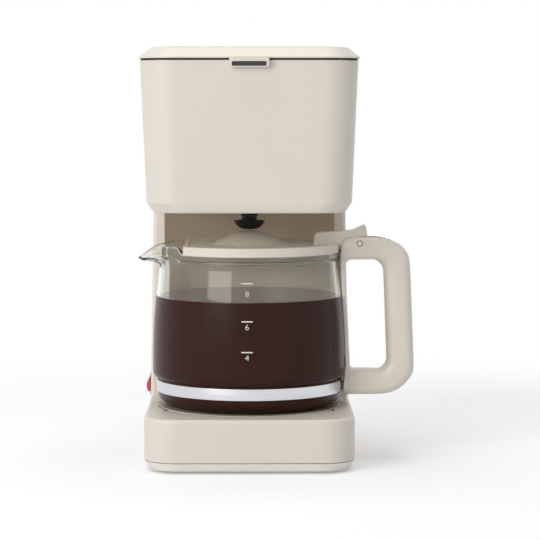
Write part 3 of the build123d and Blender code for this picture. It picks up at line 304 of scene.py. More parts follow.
def side_piece(name, outline, half, rounding, y):
    """A piece drawn in x and z and given a width along Y, about that y. Its edges are rounded: the
    outline is drawn in by r (1 - sin t) while it moves out to the faces by r (1 - cos t)."""
    t = np.linspace(0, math.pi / 2, 5)
    inward = rounding * (1 - np.sin(t))
    across = half - rounding * (1 - np.cos(t))
    rows = np.stack([inset_outline(outline, amount) for amount in (*inward, *inward[::-1])])
    depth = np.concatenate([-across, across[::-1]]) + y
    return skin(name, upright(rows, depth[:, None]), capped=True)


def linked(name, data):
    """A new object in the scene."""
    made = bpy.data.objects.new(name, data)
    bpy.context.scene.collection.objects.link(made)
    return made


def finished_mesh(holder):
    """The mesh that an object's modifiers or its curve give, as a mesh of its own."""
    bpy.context.view_layer.update()
    graph = bpy.context.evaluated_depsgraph_get()
    return bpy.data.meshes.new_from_object(holder.evaluated_get(graph))


def cut_mesh(target, tool, operation="DIFFERENCE"):
    """Takes one closed mesh from another, or joins them, and returns the new mesh."""
    holder = linked(target.name, target)
    cutter = linked(target.name + "_tool", tool)
    change = holder.modifiers.new("cut", "BOOLEAN")
    change.operation = operation
    change.solver = "EXACT"
    change.object = cutter
    made = finished_mesh(holder)
    bpy.data.objects.remove(cutter)
    bpy.data.objects.remove(holder)
    made.set_sharp_from_angle(angle=math.radians(40.0))
    return made


def block(x_low, x_high, y_low, y_high, z_low, z_high):
    """A box between two limits on each axis, as a cutting tool."""
    outline = np.array([(x_low, y_low), (x_high, y_low), (x_high, y_high), (x_low, y_high)], float)
    return skin("block", stacked([outline] * 2, (z_low, z_high)), capped=True)


def piece(name, mesh, body, slot, replaces=(), finish=None):
    """Links a finished mesh as a piece that rides on a body, in its slot's finish or in its own."""
    made = linked(name, mesh)
    mesh.materials.clear()
    mesh.materials.append(finish or slot_finishes[slot])
    shading = made.modifiers.new("even_shading", "WEIGHTED_NORMAL")
    shading.keep_sharp = True
    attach(made, body)
    if replaces:
        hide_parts(*replaces)
    return made


# Materials

def colour(red, green, blue):
    """A colour as it is seen, 0 to 255, in the light units that shaders use, by the sRGB formula."""
    seen = np.array([red, green, blue]) / 255
    linear = np.where(seen <= 0.04045, seen / 12.92, ((seen + 0.055) / 1.055) ** 2.4)
    return (*linear.tolist(), 1.0)


class Value:
    """A number in a material. Python's operators on it add Math nodes."""

    def __init__(self, finish, socket):
        self.finish = finish
        self.socket = socket

    def __add__(self, other):
        return self.finish.maths("ADD", self, other)

    def __sub__(self, other):
        return self.finish.maths("SUBTRACT", self, other)

    def __mul__(self, other):
        return self.finish.maths("MULTIPLY", self, other)

    def __rsub__(self, other):
        return self.finish.maths("SUBTRACT", other, self)

    __radd__ = __add__


class Finish:
    """A procedural material, with its shader and the object's own coordinates."""

    def __init__(self, name, **constants):
        self.material = bpy.data.materials.new(name)
        self.material.use_nodes = True
        self.tree = self.material.node_tree
        self.tree.nodes.clear()
        self.shader = self.tree.nodes.new("ShaderNodeBsdfPrincipled")
        for socket, value in constants.items():
            self.shader.inputs[socket.replace("_", " ")].default_value = value
        self.output = self.tree.nodes.new("ShaderNodeOutputMaterial")
        self.tree.links.new(self.shader.outputs[0], self.output.inputs["Surface"])
        self.at = self.node("ShaderNodeTexCoord", output="Object")

    def node(self, kind, inputs=None, output=0, **settings):
        """Adds a node: its settings first, then its sockets. Gives one output back."""
        made = self.tree.nodes.new(kind)
        for setting, value in settings.items():
            setattr(made, setting, value)
        for socket, value in (inputs or {}).items():
            if isinstance(value, Value):
                self.tree.links.new(value.socket, made.inputs[socket])
            else:
                made.inputs[socket].default_value = value
        return Value(self, made.outputs[output])

    def maths(self, operation, *values):
        return self.node("ShaderNodeMath", dict(enumerate(values)), operation=operation)

    def blend(self, share, first, second):
        """A colour between two colours."""
        return self.node("ShaderNodeMix", {0: share, 6: first, 7: second}, output=2, data_type="RGBA")

    def noise(self, size, detail, stretch=(1, 1, 1)):
        """A smooth noise whose blobs are about that many millimetres across."""
        where = self.node("ShaderNodeMapping", {"Vector": self.at, "Scale": stretch})
        scale = 1 / (size * mm)
        return self.node("ShaderNodeTexNoise", {"Vector": where, "Scale": scale, "Detail": detail})

    def axis(self, name):
        """One of the object's coordinates, in metres."""
        return self.node("ShaderNodeSeparateXYZ", {0: self.at}, output=name)

    def smoothly(self, value, low, high):
        """0 below low, 1 above high and a soft rise between."""
        return self.node(
            "ShaderNodeMapRange", {0: value, 1: low, 2: high, 3: 0.0, 4: 1.0},
            interpolation_type="SMOOTHSTEP",
        )

    def send(self, socket, value):
        self.tree.links.new(value.socket, self.shader.inputs[socket])

    def bump(self, height, depth, strength=1.0):
        """Fine relief of that many millimetres."""
        normal = self.node(
            "ShaderNodeBump", {"Height": height, "Strength": strength, "Distance": depth * mm},
            output="Normal",
        )
        self.send("Normal", normal)


def moulded_skin(finish, roughness, grain):
    """The skin of moulded plastic: flow marks in its gloss and a very fine grain of that depth. Gives
    back the slow drift of its tone."""
    drift = finish.noise(45, 2.0, (1, 1, 0.4))
    fine = finish.noise(0.5, 3.0)
    finish.send("Roughness", roughness - 0.04 + fine * 0.06 + drift * 0.03)
    finish.bump(fine + finish.noise(6, 1.0) * 0.5, grain)
    return drift


def moulded(name, shade, roughness, mottle=0.02, grain=0.012, **constants):
    """Moulded plastic, with its tone drifting down by a share of 2.2 times the mottle."""
    finish = Finish(name, **constants)
    drift = moulded_skin(finish, roughness, grain)
    darker = tuple(c * (1 - 2.2 * mottle) for c in shade[:3]) + (1.0,)
    finish.send("Base Color", finish.blend(drift, darker, shade))
    return finish.material


def cream_plastic():
    return moulded("cream_plastic", colour(229, 221, 208), roughness=0.34, mottle=0.012)


def cover_plastic():
    """The bottom cover's plastic, lighter than the casing's to make up for the shade under the seam."""
    return moulded("cover_plastic", colour(247, 241, 230), roughness=0.5, grain=0.03)


def from_jug_axis(finish):
    """A point's x and y from the jug's axis, in metres."""
    axis = float(middle[0] * mm), float((middle[1] + jug_y) * mm)
    return finish.axis("X") - axis[0], finish.axis("Y") - axis[1]


def column_plastic_painted_light():
    """The casing's plastic with painted light: a browner painted shade inside the jug's recess, standing in
    for the pale walls lighting one another, and outside it a painted tone lighter than the casing's cream.
    """
    finish = Finish("column_plastic_painted_light")
    drift = moulded_skin(finish, roughness=0.36, grain=0.012)
    x, y = from_jug_axis(finish)
    reach = finish.maths("SQRT", x * x + y * y)
    outside = finish.smoothly(reach, (recess_radius + 0.1) * mm, (recess_radius + 0.7) * mm)
    # Painted light: browner inside the recess as painted shade, and lighter than the casing's cream outside
    # it.
    shade = finish.blend(outside, colour(226, 209, 186), colour(236, 229, 217))
    finish.send("Base Color", finish.blend(drift * 0.05, shade, colour(200, 185, 165)))
    return finish.material


def black_plastic():
    shade = colour(13, 13, 14)
    return moulded("black_plastic", shade, roughness=0.36, mottle=0.15, grain=0.02, Specular_IOR_Level=0.3)


def inner_plastic():
    return moulded("inner_plastic", colour(208, 204, 194), roughness=0.45, mottle=0.03, grain=0.03)


def rubber():
    """Dark rubber with a dusty, uneven tone."""
    return moulded("rubber", colour(38, 38, 38), roughness=0.72, mottle=0.2, grain=0.06)


def silicone():
    """Milky hose rubber."""
    shade = colour(205, 202, 194)
    return moulded("silicone", shade, roughness=0.5, mottle=0.03, grain=0.03, Subsurface_Weight=0.1)


def red_plastic():
    """Glossy red plastic that light gets a little way into."""
    shade = colour(222, 62, 84)
    return moulded("red_plastic", shade, roughness=0.16, mottle=0.03, grain=0.004, Subsurface_Weight=0.15)


def wire_cover():
    return moulded("wire_cover", colour(120, 84, 64), roughness=0.55, mottle=0.1, grain=0.03)


# Painted shade: a dark blue-grey that stands in for the shadow inside the lid tab's slot.
def painted_slot_shade():
    return moulded("painted_slot_shade", colour(50, 54, 60), roughness=0.14, mottle=0.05, grain=0.004)


def two_toned(finish, marks, darker, lighter, roughness, spread, relief, strength=1.0):
    """A surface whose tone, gloss and relief all follow the same marks."""
    finish.send("Base Color", finish.blend(marks, darker, lighter))
    finish.send("Roughness", roughness + marks * spread)
    finish.bump(marks, relief, strength)
    return finish.material


def screw_steel():
    """Plain bright steel of pins, screws and springs."""
    finish = Finish("screw_steel", Metallic=1.0)
    tones = colour(168, 168, 170), colour(205, 205, 208)
    return two_toned(finish, finish.noise(0.8, 4.0), *tones, roughness=0.25, spread=0.15, relief=0.01)


def cast_aluminium():
    """Rough cast metal of the heater."""
    finish = Finish("cast_aluminium", Metallic=1.0)
    tones = colour(140, 141, 143), colour(190, 191, 194)
    return two_toned(finish, finish.noise(1.5, 6.0), *tones, roughness=0.4, spread=0.25, relief=0.15)


def white_print():
    """Screen-printed white ink with tiny pinholes."""
    finish = Finish("white_print")
    tones = colour(214, 214, 212), colour(246, 246, 245)
    return two_toned(finish, finish.noise(0.4, 3.0), *tones, roughness=0.45, spread=0.2, relief=0.01)


def brushed_steel():
    """Steel brushed along its length: noise drawn out round the jug varies the gloss and the relief."""
    finish = Finish("brushed_steel", Metallic=1.0)
    lines = finish.noise(1.2, 4.0, (0.12, 0.12, 6.0))
    tones = colour(196, 197, 202), colour(228, 229, 232)
    patches = 0.2 + finish.noise(30, 2.0) * 0.05
    return two_toned(finish, lines, *tones, roughness=patches, spread=0.12, relief=0.01, strength=0.5)


def plate_enamel():
    """The warming plate's pale enamel, with a soft speckle and a cloudy gloss."""
    finish = Finish("plate_enamel", Metallic=0.25)
    tones = colour(196, 184, 166), colour(214, 204, 188)
    clouds = 0.3 + finish.noise(22, 2.0) * 0.1
    return two_toned(finish, finish.noise(0.8, 2.0), *tones, roughness=clouds, spread=0.1, relief=0.02)


def filter_mesh():
    """Fine woven mesh: two sets of threads half a millimetre apart, one over the other."""
    finish = Finish("filter_mesh")
    threads_round, thread_gap = 520, 0.55
    x, y = from_jug_axis(finish)
    across = finish.maths("ARCTAN2", y, x) * (threads_round / 2)
    up = finish.axis("Z") * (math.pi / (thread_gap * mm))
    across, up = (finish.maths("ABSOLUTE", finish.maths("SINE", wave)) for wave in (across, up))
    thread = finish.maths("MAXIMUM", across, up)
    shade = finish.smoothly(thread, 0.45, 0.9)
    finish.send("Base Color", finish.blend(shade, colour(70, 58, 42), colour(186, 164, 122)))
    finish.send("Roughness", 0.65 - shade * 0.2)
    finish.bump(thread, 0.15)
    return finish.material


def jug_clear():
    """Clear thin glass with a breath of unevenness in its tone."""
    finish = Finish("jug_clear", Transmission_Weight=1.0, IOR=1.28, Roughness=0.0)
    ripple = finish.noise(18, 1.0, (1, 1, 0.5))
    finish.send("Base Color", finish.blend(ripple, colour(248, 250, 249), colour(253, 254, 253)))
    return finish.material


def brewed_coffee():
    """Dark coffee: nearly black brown, its tone drifting at random to a warmer brown, a painted light for
    light getting into it. Its top is painted lighter and greyer: partly froth, partly a painted reflection
    of the walls round it. That surface is smoother than the side that shows through the glass."""
    finish = Finish("brewed_coffee", Specular_IOR_Level=0.13)
    depth = finish.noise(40, 2.0, (1, 1, 0.6))
    level = float(jug_low + coffee_height)
    top = finish.smoothly(finish.axis("Z"), (level - 0.5) * mm, (level - 0.1) * mm)
    side = finish.blend(depth, colour(44, 22, 16), colour(58, 32, 25))
    # Painted reflection and froth: the top surface is lighter and greyer than the side.
    finish.send("Base Color", finish.blend(top, side, colour(104, 86, 84)))
    finish.send("Roughness", 0.24 + depth * 0.06 - top * 0.2)
    return finish.material


slot_finishes = {
    "casing": cream_plastic(), "cover": cover_plastic(), "rubber": rubber(), "steel": screw_steel(),
    "plate_metal": plate_enamel(), "aluminium": cast_aluminium(), "silicone": silicone(),
    "inner_plastic": inner_plastic(), "black_plastic": black_plastic(), "mesh": filter_mesh(),
    "glass": jug_clear(), "red_plastic": red_plastic(), "wire": wire_cover(),
}


def dress_nodes():
    """Gives every carried-over node the finish of its material slot."""
    slots = {row["node"]: row["material_slot"] for row in frame["record"]["subparts"]}
    for name, node in frame["nodes"].items():
        finish = slot_finishes[slots[name]]
        if not node.material_slots:
            node.data.materials.append(finish)
        for holder in node.material_slots:
            holder.material = finish


dress_nodes()


# Casing

def base_casing():
    """Base: a rounded-rectangle wall, a rounded upper edge, then the deck drawn in to the plate's
    round opening, and the same again inside, closed into one shell."""
    edge = rounded_path([(0.0, base_low), (0.0, deck), (14.0, deck)], [deck_round], 8)
    edge = np.insert(edge, 1, [(0.0, base_low + 0.4), (0.0, deck - 8)], axis=0)
    inset, levels = edge.T
    walls = box_loops(half_base - inset, half_depth - inset, corner - inset)
    bearing = np.arctan2(walls[-1, :, 1] - jug_y, walls[-1, :, 0])
    circle = polar(plate_opening, bearing) + [0, jug_y]
    decks = [walls[-1] * (1 - t) + circle * 1.004 * t for t in np.linspace(0, 1, 6)[1:]]
    inside = box_loops(half_base - wall, half_depth - wall, corner - wall)[0]
    loops = [*walls, *decks, circle, circle, inside, inside]
    heights = [*levels, *[deck] * len(decks), deck - 0.4, deck - wall, deck - wall, base_low]
    return skin("base_casing", stacked(loops, heights), closed_along=True, sharp=35)


def head_casing():
    """Head: rounded rectangles from the drawn-in lower edge up, over a softly rounded rim and down the
    inside. The half width and the front lean evenly from the shoulder to the top, and draw in below
    the shoulder."""
    outline = rounded_path(
        [(wall, head_low), (0, head_low), (0, shoulder), (0, head_high), (wall, head_high),
         (wall, head_low + 1), (wall, head_low)],
        [1.6, 5.0, 0.8, 0.6, 0.0], 8,
    )
    inset, z = outline[:-1].T
    above = np.clip((z - shoulder) / (head_high - shoulder), 0, 1)
    below = np.clip((shoulder - z) / (shoulder - head_low), 0, 1) * chamfer_inset
    half_x = shoulder_half + (top_half - shoulder_half) * above - below - inset
    front = -half_depth + front_draft * (1 - above) + below + inset
    rear = half_depth - inset
    loops = box_loops(half_x, (rear - front) / 2, corner - inset, (rear + front) / 2, 16, 10)
    return skin("head_casing", stacked(loops, z), closed_along=True, sharp=35)


def column_loop(half, inset):
    """The column's outline in plan, from its recess round the right pillar and the rear to the left:
    an arc about the jug's axis, the pillar's front with its edges rounded, the side, and the rear."""
    radius = recess_radius + inset
    front = pillar_front + inset
    side = half - inset
    rear = half_depth - inset
    near = math.asin((front - jug_y) / radius)
    turn = np.linspace(math.pi / 2, near, 40)
    arc = polar(radius, turn) + [0, jug_y]
    outline = np.array([arc[-1], (side, front), (side, rear), (0.0, rear)])
    inner_edge = corner_arc(arc[-6], arc[-1], outline[1], pillar_inner_round, 4)
    pillar = corner_arc(*outline[:3], max(pillar_round - inset, 0.4), 8)
    back = corner_arc(*outline[1:], corner - inset, 16)
    along = pillar[-1] + (back[0] - pillar[-1]) * np.linspace(0, 1, 8)[1:-1, None]
    half_loop = np.concatenate([arc[:-3], inner_edge, pillar, along, back, outline[3:]])
    mirrored = half_loop[::-1][1:-1] * [-1, 1]
    return np.concatenate([half_loop, mirrored])


def column_casing():
    """Column: its plan carried from the deck up into the head, with its inner wall, as one shell."""
    heights = np.array([deck, deck + 0.5, deck + 60, head_low + 1.0])
    share = (heights - deck) / (shoulder - deck)
    halves = half_base + (column_top_half - half_base) * share
    loops = [column_loop(half, 0.0) for half in halves]
    inner = [column_loop(half, wall) for half in halves[::-1]]
    levels = np.concatenate([heights, heights[::-1]])
    return skin("column_casing", stacked(loops + inner, levels), closed_along=True, sharp=35)


def switch_room():
    """The opening for the switch in the column's side, as a cutting tool."""
    low, high = box_mm("switch_housing")
    gap, outside, inside = 0.1, 5.0, 9.0
    outer_x = low[0] - middle[0]
    low, high = low - middle - gap, high - middle + gap
    return block(outer_x - outside, outer_x + inside, low[1], high[1], low[2], high[2])


def make_casing():
    column = cut_mesh(column_casing(), switch_room())
    piece("base_casing", base_casing(), "machine", "casing", ["base_housing"])
    piece("head_casing", head_casing(), "machine", "casing", ["main_housing"])
    piece("column_casing", column, "machine", "casing", ["main_housing"], column_plastic_painted_light())


# Lid of the machine

def lid_cap():
    """The domed cap: rounded rectangles drawn in along a section that rises from the thin edge over
    the sloping border to the flat crown, closed on the middle line, with the same form inside."""
    edge = [(0.5, lid_low), (0.0, lid_low), (0.0, lid_low + 1.0), (8.3, lid_high - 0.6), (14.0, lid_high)]
    outer = rounded_path(edge + [(40.0, lid_high)], [0.25, 1.0, 4.0, 6.0], 6)
    crown = np.column_stack([[52.0, 64.0, 72.0, top_half + lid_overhang], np.full(4, lid_high)])
    outer = np.concatenate([outer, crown])
    roof = lid_high - cap_wall
    inner = rounded_path([(cap_wall, lid_low), (9.3, roof - 0.6), (15.0, roof), (40.0, roof)], [4.0, 6.0], 6)
    section = np.concatenate([outer[::-1], inner, crown - [0, cap_wall]])[::-1]
    inset, heights = section.T
    half_x = top_half + lid_overhang - inset
    half_y = half_depth + lid_overhang - inset
    radius = np.clip(corner - inset / 2, 0.0, half_x)
    loops = box_loops(half_x, half_y, radius, 0.0, 16, 10)
    return skin("lid_cap", stacked(loops, heights), sharp=30)


def hinge_barrel():
    """The lid's barrel: a bored tube along X, its section turned about the hinge's line."""
    half = ear_near
    section = [(1.55, -half), (3.0, -half), (3.1, -half + 0.3), (3.1, half - 0.3), (3.0, half), (1.55, half)]
    tube = lathe(section, 32)
    turned = np.stack([tube[..., 2], tube[..., 0] + hinge_y, tube[..., 1] + hinge_z], axis=-1)
    return skin("barrel", turned, closed_along=True)


def lid_tab():
    """The finger tab: rounded rectangles in front view carried forwards, with a slot let into the
    front, drawn in row by row and closed at its floor."""
    root = -half_depth - lid_overhang + 0.6
    y = np.array([root] + [tab_front + back for back in (0.5, 0.15, 0.0, 0.0, 0.2, 3.0)])
    half_x = [14.0, 14.0, 13.85, 13.5, 12.2, 12.0, 12.0]
    half_z = [tab_half, tab_half, tab_half - 0.15, tab_half - 0.4, 1.75, 1.6, 1.6]
    radius = [2.5, 2.5, 2.4, 2.2, 1.2, 1.0, 1.0]
    centre = [tab_top - tab_half] * 4 + [tab_slot] * 3
    loops = box_loops(half_x, half_z, radius, centre, 8, 3)
    return skin("lid_tab", upright(loops, y[:, None]), capped=True, sharp=35)


def tab_slot_shade():
    """A low rounded bar at the floor of the tab's slot, dark and glossy: painted shade for the shadow deep
    in the slot.
    """
    loops = box_loops([11.9, 11.9, 11.5], [1.55, 1.55, 1.1], [1.0, 1.0, 0.8], [tab_slot] * 3, 8, 3)
    depth = tab_front + np.array([3.0, 1.6, 1.3])[:, None]
    return skin("tab_slot_shade", upright(loops, depth), capped=True)


def make_lid():
    lid = cut_mesh(lid_cap(), block(-99, 99, hinge_y, 130, lid_low - 9, lid_high + 9))
    for side in (-1, 1):
        low, high = sorted((side * ear_near, side * ear_far))
        notch = block(low, high, hinge_y - 3.5, hinge_y + 9, lid_low - 1, lid_high + 2)
        lid = cut_mesh(lid, notch)
    lid = cut_mesh(lid, hinge_barrel(), "UNION")
    piece("lid_shell", lid, "top_lid", "casing", ["top_lid"])
    piece("lid_tab", lid_tab(), "top_lid", "casing", ["top_lid"])
    # A dark bar as painted shade inside the tab's slot.
    piece("tab_slot_shade", tab_slot_shade(), "top_lid", "casing", finish=painted_slot_shade())


# Warming plate and valve

def plate_disc():
    """The warming plate: a disc with a soft edge and a turned-down rim."""
    low, high = box_mm("warming_plate")
    radius = (high[0] - low[0]) / 2
    top = high[2]
    section = rounded_path(
        [(0, top - 0.25), (radius - 7, top - 0.25), (radius - 5.5, top), (radius, top), (radius, low[2]),
         (radius - 1.2, low[2]), (radius - 1.2, top - 1.3), (0, top - 1.3)],
        [1.0, 1.0, 1.1, 0.3, 0.3, 0.8], 5,
    )
    return turned("warming_disc", section, sharp=35)


def valve_body():
    """The drip valve: cup, ridged neck and stem turned in one, with every edge softened."""
    low, high = box_mm("drip_valve")
    z = low[2]
    stem_low = box_mm("valve_spring")[0][2]
    section = rounded_path(
        [(0, z), (5.5, z), (8.4, z + 1.6), (10.4, z + 3.9), (11.5, z + 6.2), (10.7, z + 6.2),
         (7.5, z + 4.6), (5.9, z + 5.4), (5.9, z + 7.6), (5.2, z + 8.0), (5.2, z + 8.8), (6.3, z + 9.1),
         (6.3, z + 10.6), (5.9, z + 10.9), (5.9, stem_low), (2.4, stem_low), (2.4, high[2]), (0, high[2])],
        [0.8, 1.8, 1.8, 0.3, 0.3, 0.8, 0.8, 0.2, 0.2, 0.2, 0.3, 0.3, 0.3, 0.3, 0.2, 0.2], 4,
    )
    return turned("valve_body", section, 72)


def spring_coil():
    """The valve's spring: a round section carried along a helix, P = C + (w / 2) (n cos v + b sin v),
    where C is the helix, n points away from its axis and b is square to n and to the helix."""
    low, high = box_mm("valve_spring")
    radius = (high[0] - low[0] - spring_wire) / 2
    turn = np.linspace(0, 2 * math.pi * spring_turns, spring_turns * 36 + 1)
    rise = (high[2] - low[2] - spring_wire) / turn[-1]
    flat = np.zeros_like(turn)
    out = np.column_stack([polar(1, turn), flat])
    along = np.column_stack([-radius * np.sin(turn), radius * np.cos(turn), flat + rise])
    square = np.cross(unit(along), out)
    centre = out * radius + np.column_stack([flat, flat, low[2] + spring_wire / 2 + rise * turn])
    v = np.linspace(0, 2 * math.pi, 12, endpoint=False)[None, :, None]
    section = out[:, None] * np.cos(v) + square[:, None] * np.sin(v)
    return skin("spring_coil", around_jug(centre[:, None] + section * spring_wire / 2), capped=True)


def make_turned_parts():
    """The plate, the valve and its spring, which gets a mesh of its own."""
    piece("warming_disc", plate_disc(), "machine", "plate_metal", ["warming_plate"])
    piece("valve_body", valve_body(), "drip_valve", "black_plastic", ["drip_valve"])
    coil = piece("spring_coil", spring_coil(), "filter_basket", "steel", ["valve_spring"])
    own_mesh(coil)


# Jug

def jug_side():
    """The jug's outer section from the foot's dimple to the rim, as (radius, height) points. Above the
    band the wall is one cubic Bezier curve, from start to end with lean and draw as its handles."""
    foot = rounded_path([(0, 1.0), (52.5, 1.0), (53.5, 0.0), (57.5, 0.0), (61.7, 2.0)], [1.0, 0.5, 2.0], 5)
    flank = rounded_path(
        [(61.7, 2.0), (66.5, 5.0), (67.6, 10.3), (67.5, 20.0), (70.4, 22.4), (71.0, 25.0), (70.9, 34.0)],
        [6.0, 5.0, 0.8, 1.6, 2.0], 6,
    )
    t = np.linspace(0, 1, 26)[1:, None]
    start, lean = np.array([70.9, 34.0]), np.array([71.1, 60.0])
    draw, end = np.array([68.0, 86.0]), np.array([66.0, 103.4])
    upper = (1 - t) ** 3 * start + 3 * (1 - t) ** 2 * t * lean + 3 * (1 - t) * t ** 2 * draw + t ** 3 * end
    neck = rounded_path(
        [(66.0, 103.4), (66.0, 106.4), (66.8, 107.1), (66.4, 108.4), (rim_radius, glass_top)],
        [0.2, 0.3, 0.6], 4,
    )[1:]
    return np.concatenate([foot[:-1], flank, upper, neck])


# The spout: the bearing from its tip in degrees, the rim's radius there and its height over the table
spout_table = np.array([
    (0.0, 80.6, 146.2), (3.2, 80.6, 146.4), (5.4, 78.6, 148.4), (9.4, 74.8, 152.0), (14.5, 70.8, 154.9),
    (21.0, 66.8, 156.0), (30.0, rim_radius, 156.2), (39.5, rim_radius, 156.3), (42.3, rim_radius, 151.3),
    (180.0, rim_radius, 151.3),
])


def spout_shift(points, bearing):
    """How far the spout moves the wall: out to the table's radius and up or down to its height, each the
    mean of the table over 2.4 degrees. The share t of the last few millimetres below the rim sets how
    much: 1 - (1 - t)^2.6 outwards, t^1.5 up."""
    off = np.degrees(np.abs(np.angle(np.exp(1j * (bearing - math.pi)))))
    spread = np.abs(off[..., None] + np.linspace(-1.2, 1.2, 7))
    degrees, radii, heights = spout_table.T
    radius = np.interp(spread, degrees, radii).mean(axis=-1)
    height = np.interp(spread, degrees, heights).mean(axis=-1)
    t = np.clip((points[..., 2] - jug_low - lip_start) / (glass_top - lip_start), 0, 1)
    out = (1 - (1 - t) ** 2.6) * (radius - rim_radius)
    up = t ** 1.5 * (height - jug_low - glass_top)
    direction = np.stack([np.cos(bearing), np.sin(bearing), np.zeros_like(bearing)], axis=-1)
    return direction * out[..., None] + up[..., None] * np.array([0, 0, 1.0])


def grid_normals(grid):
    """Unit normals of a grid that is closed round, from the cross product of its differences."""
    around = np.roll(grid, -1, axis=1) - np.roll(grid, 1, axis=1)
    along = np.gradient(grid, axis=0)
    return unit(np.cross(around, along))


def jug_shell():
    """Glass: the section turned about the axis and drawn out into the spout, then the same surface
    moved inwards by the wall, joined by a rounded rim."""
    side = jug_side()
    outer = lathe(side, 240)
    outer[..., 2] += jug_low
    bearing = np.broadcast_to(np.arctan2(outer[-1, :, 1], outer[-1, :, 0]), outer.shape[:2])
    outer = outer + spout_shift(outer, bearing)
    first = np.argmax(side[:, 0] > foot_radius)
    inner = outer[first:] - grid_normals(outer)[first:] * glass_wall
    inner[..., 2] = np.maximum(inner[..., 2], jug_low + glass_floor)
    flat = np.stack([inner[0] * [f, f, 0] + [0, 0, jug_low + glass_floor] for f in (0.0, 0.5, 0.9)])
    rise = unit(outer[-1] - outer[-2])
    centre = (outer[-1] + inner[-1]) / 2
    half = (outer[-1] - inner[-1]) / 2
    turn = np.linspace(0, math.pi, 7)[1:-1]
    rim = np.stack([centre + half * math.cos(a) + rise * glass_wall / 2 * math.sin(a) for a in turn])
    grid = np.concatenate([outer, rim, inner[::-1], flat[::-1]])
    return skin("jug_shell", around_jug(grid), sharp=60)


def coffee_body():
    """The coffee up to its level. It is drawn out just past the glass's outer face, because the bent
    light of a full jug shows it there."""
    side = jug_side()
    first = np.argmax(side[:, 0] > foot_radius)
    past_glass = 0.03
    body = side[first:][side[first:, 1] < coffee_height] + [past_glass, jug_low]
    foot, edge = body[0, 0] - 2.6, body[-1, 0]
    low, level = jug_low + glass_floor - 0.2, jug_low + coffee_height
    section = [(0, low), (foot, low), *body, (edge - 0.05, level - 0.3), (edge - 0.3, level - 0.05),
               (edge - 0.8, level), (0, level)]
    return turned("coffee_fill", section, 180, sharp=50)


def band_shell():
    """The stainless band: a thin hoop with rounded edges and a slight crown."""
    radius = 67.65
    edge, crown = radius + 0.55, radius + 0.68
    section = rounded_ring(
        [(radius, band_low), (edge, band_low), (crown, (band_low + band_high) / 2), (edge, band_high),
         (radius, band_high)],
        [0.1, 0.25, 3.0, 0.25, 0.1], 4,
    )
    return turned("band_shell", section, 180, closed_along=True, sharp=50)


def wrap_print(flat, depth):
    """Lays a flat print on the glass: x becomes a bearing round the jug and z stays, at the radius
    that the wall has at that height."""
    side = jug_side()
    order = np.argsort(side[:, 1], kind="stable")
    radius = np.interp(flat[:, 2] - jug_low, side[order, 1], side[order, 0]) + depth
    bearing = -math.pi / 2 + flat[:, 0] / radius
    return np.column_stack([polar(radius, bearing), flat[:, 2]])


def print_mesh(name, points, faces):
    """A print with a front and a back, a few hundredths of a millimetre thick."""
    front = wrap_print(points, ink_front)
    back = wrap_print(points, -ink_back)
    count = len(points)
    behind = [[i + count for i in reversed(face)] for face in faces]
    edges = {edge: True for face in faces for edge in zip(face, face[1:] + face[:1])}
    rim = [[a, b, b + count, a + count] for a, b in edges if (b, a) not in edges]
    return mesh_of(name, around_jug(np.concatenate([front, back])), faces + behind + rim)


def mark_bar(name, z):
    """One printed tick, in strips that bend round the glass."""
    strips = 8
    over = strips + 1
    x = np.linspace(mark_x - tick_half_x, mark_x + tick_half_x, over)
    rows = [np.column_stack([x, 0 * x, 0 * x + level]) for level in (z - tick_half_z, z + tick_half_z)]
    faces = [[i, i + 1, i + 1 + over, i + over] for i in range(strips)]
    return print_mesh(name, np.concatenate(rows), faces)


def mark_number(name, text, z, height):
    """One printed number, from the plain built-in letter shapes, drawn a little thinner and wider."""
    letter_size, thinner = 1.42, 0.012
    curve = bpy.data.curves.new(name, "FONT")
    curve.body = text
    curve.align_x = "CENTER"
    curve.align_y = "CENTER"
    curve.size = height * letter_size
    curve.offset = -thinner * height
    holder = linked(name, curve)
    flat = finished_mesh(holder)
    bpy.data.objects.remove(holder)
    x, y, _ = np.array([v.co for v in flat.vertices]).T
    faces = [list(p.vertices) for p in flat.polygons]
    laid = np.column_stack([x * digit_width + mark_x, 0 * x, y - (y.max() + y.min()) / 2 + z])
    return print_mesh(name, laid, faces)


# The scale: the number, its tick's height over the table, its drop below the tick and its own height
marks = (("8", 133.6, 7.3, 3.7), ("6", 106.8, 3.9, 4.0), ("4", 85.2, 3.9, 4.0))


def make_marks():
    ink = white_print()
    for number, z, drop, height in marks:
        tick, digit = "mark_tick_" + number, "mark_number_" + number
        piece(tick, mark_bar(tick, z), "jug", "glass", finish=ink)
        piece(digit, mark_number(digit, number, z - drop, height), "jug", "glass", finish=ink)


# The handle's corners in side view, and their radii
handle_outer = [(66.0, 162.9), (99.0, 162.9), (117.6, 153.6), (121.3, 62.5), (108.2, 47.0), (63.0, 47.0)]
handle_outer_rounds = [8.5, 24.0, 14.0, 12.0, 20.0, 2.0]
handle_inner = [(70.0, 146.2), (93.0, 146.2), (98.2, 140.6), (100.9, 71.0), (96.6, 65.4), (74.0, 65.4)]
handle_inner_rounds = [5.0, 9.0, 9.0, 8.0, 8.0, 3.5]


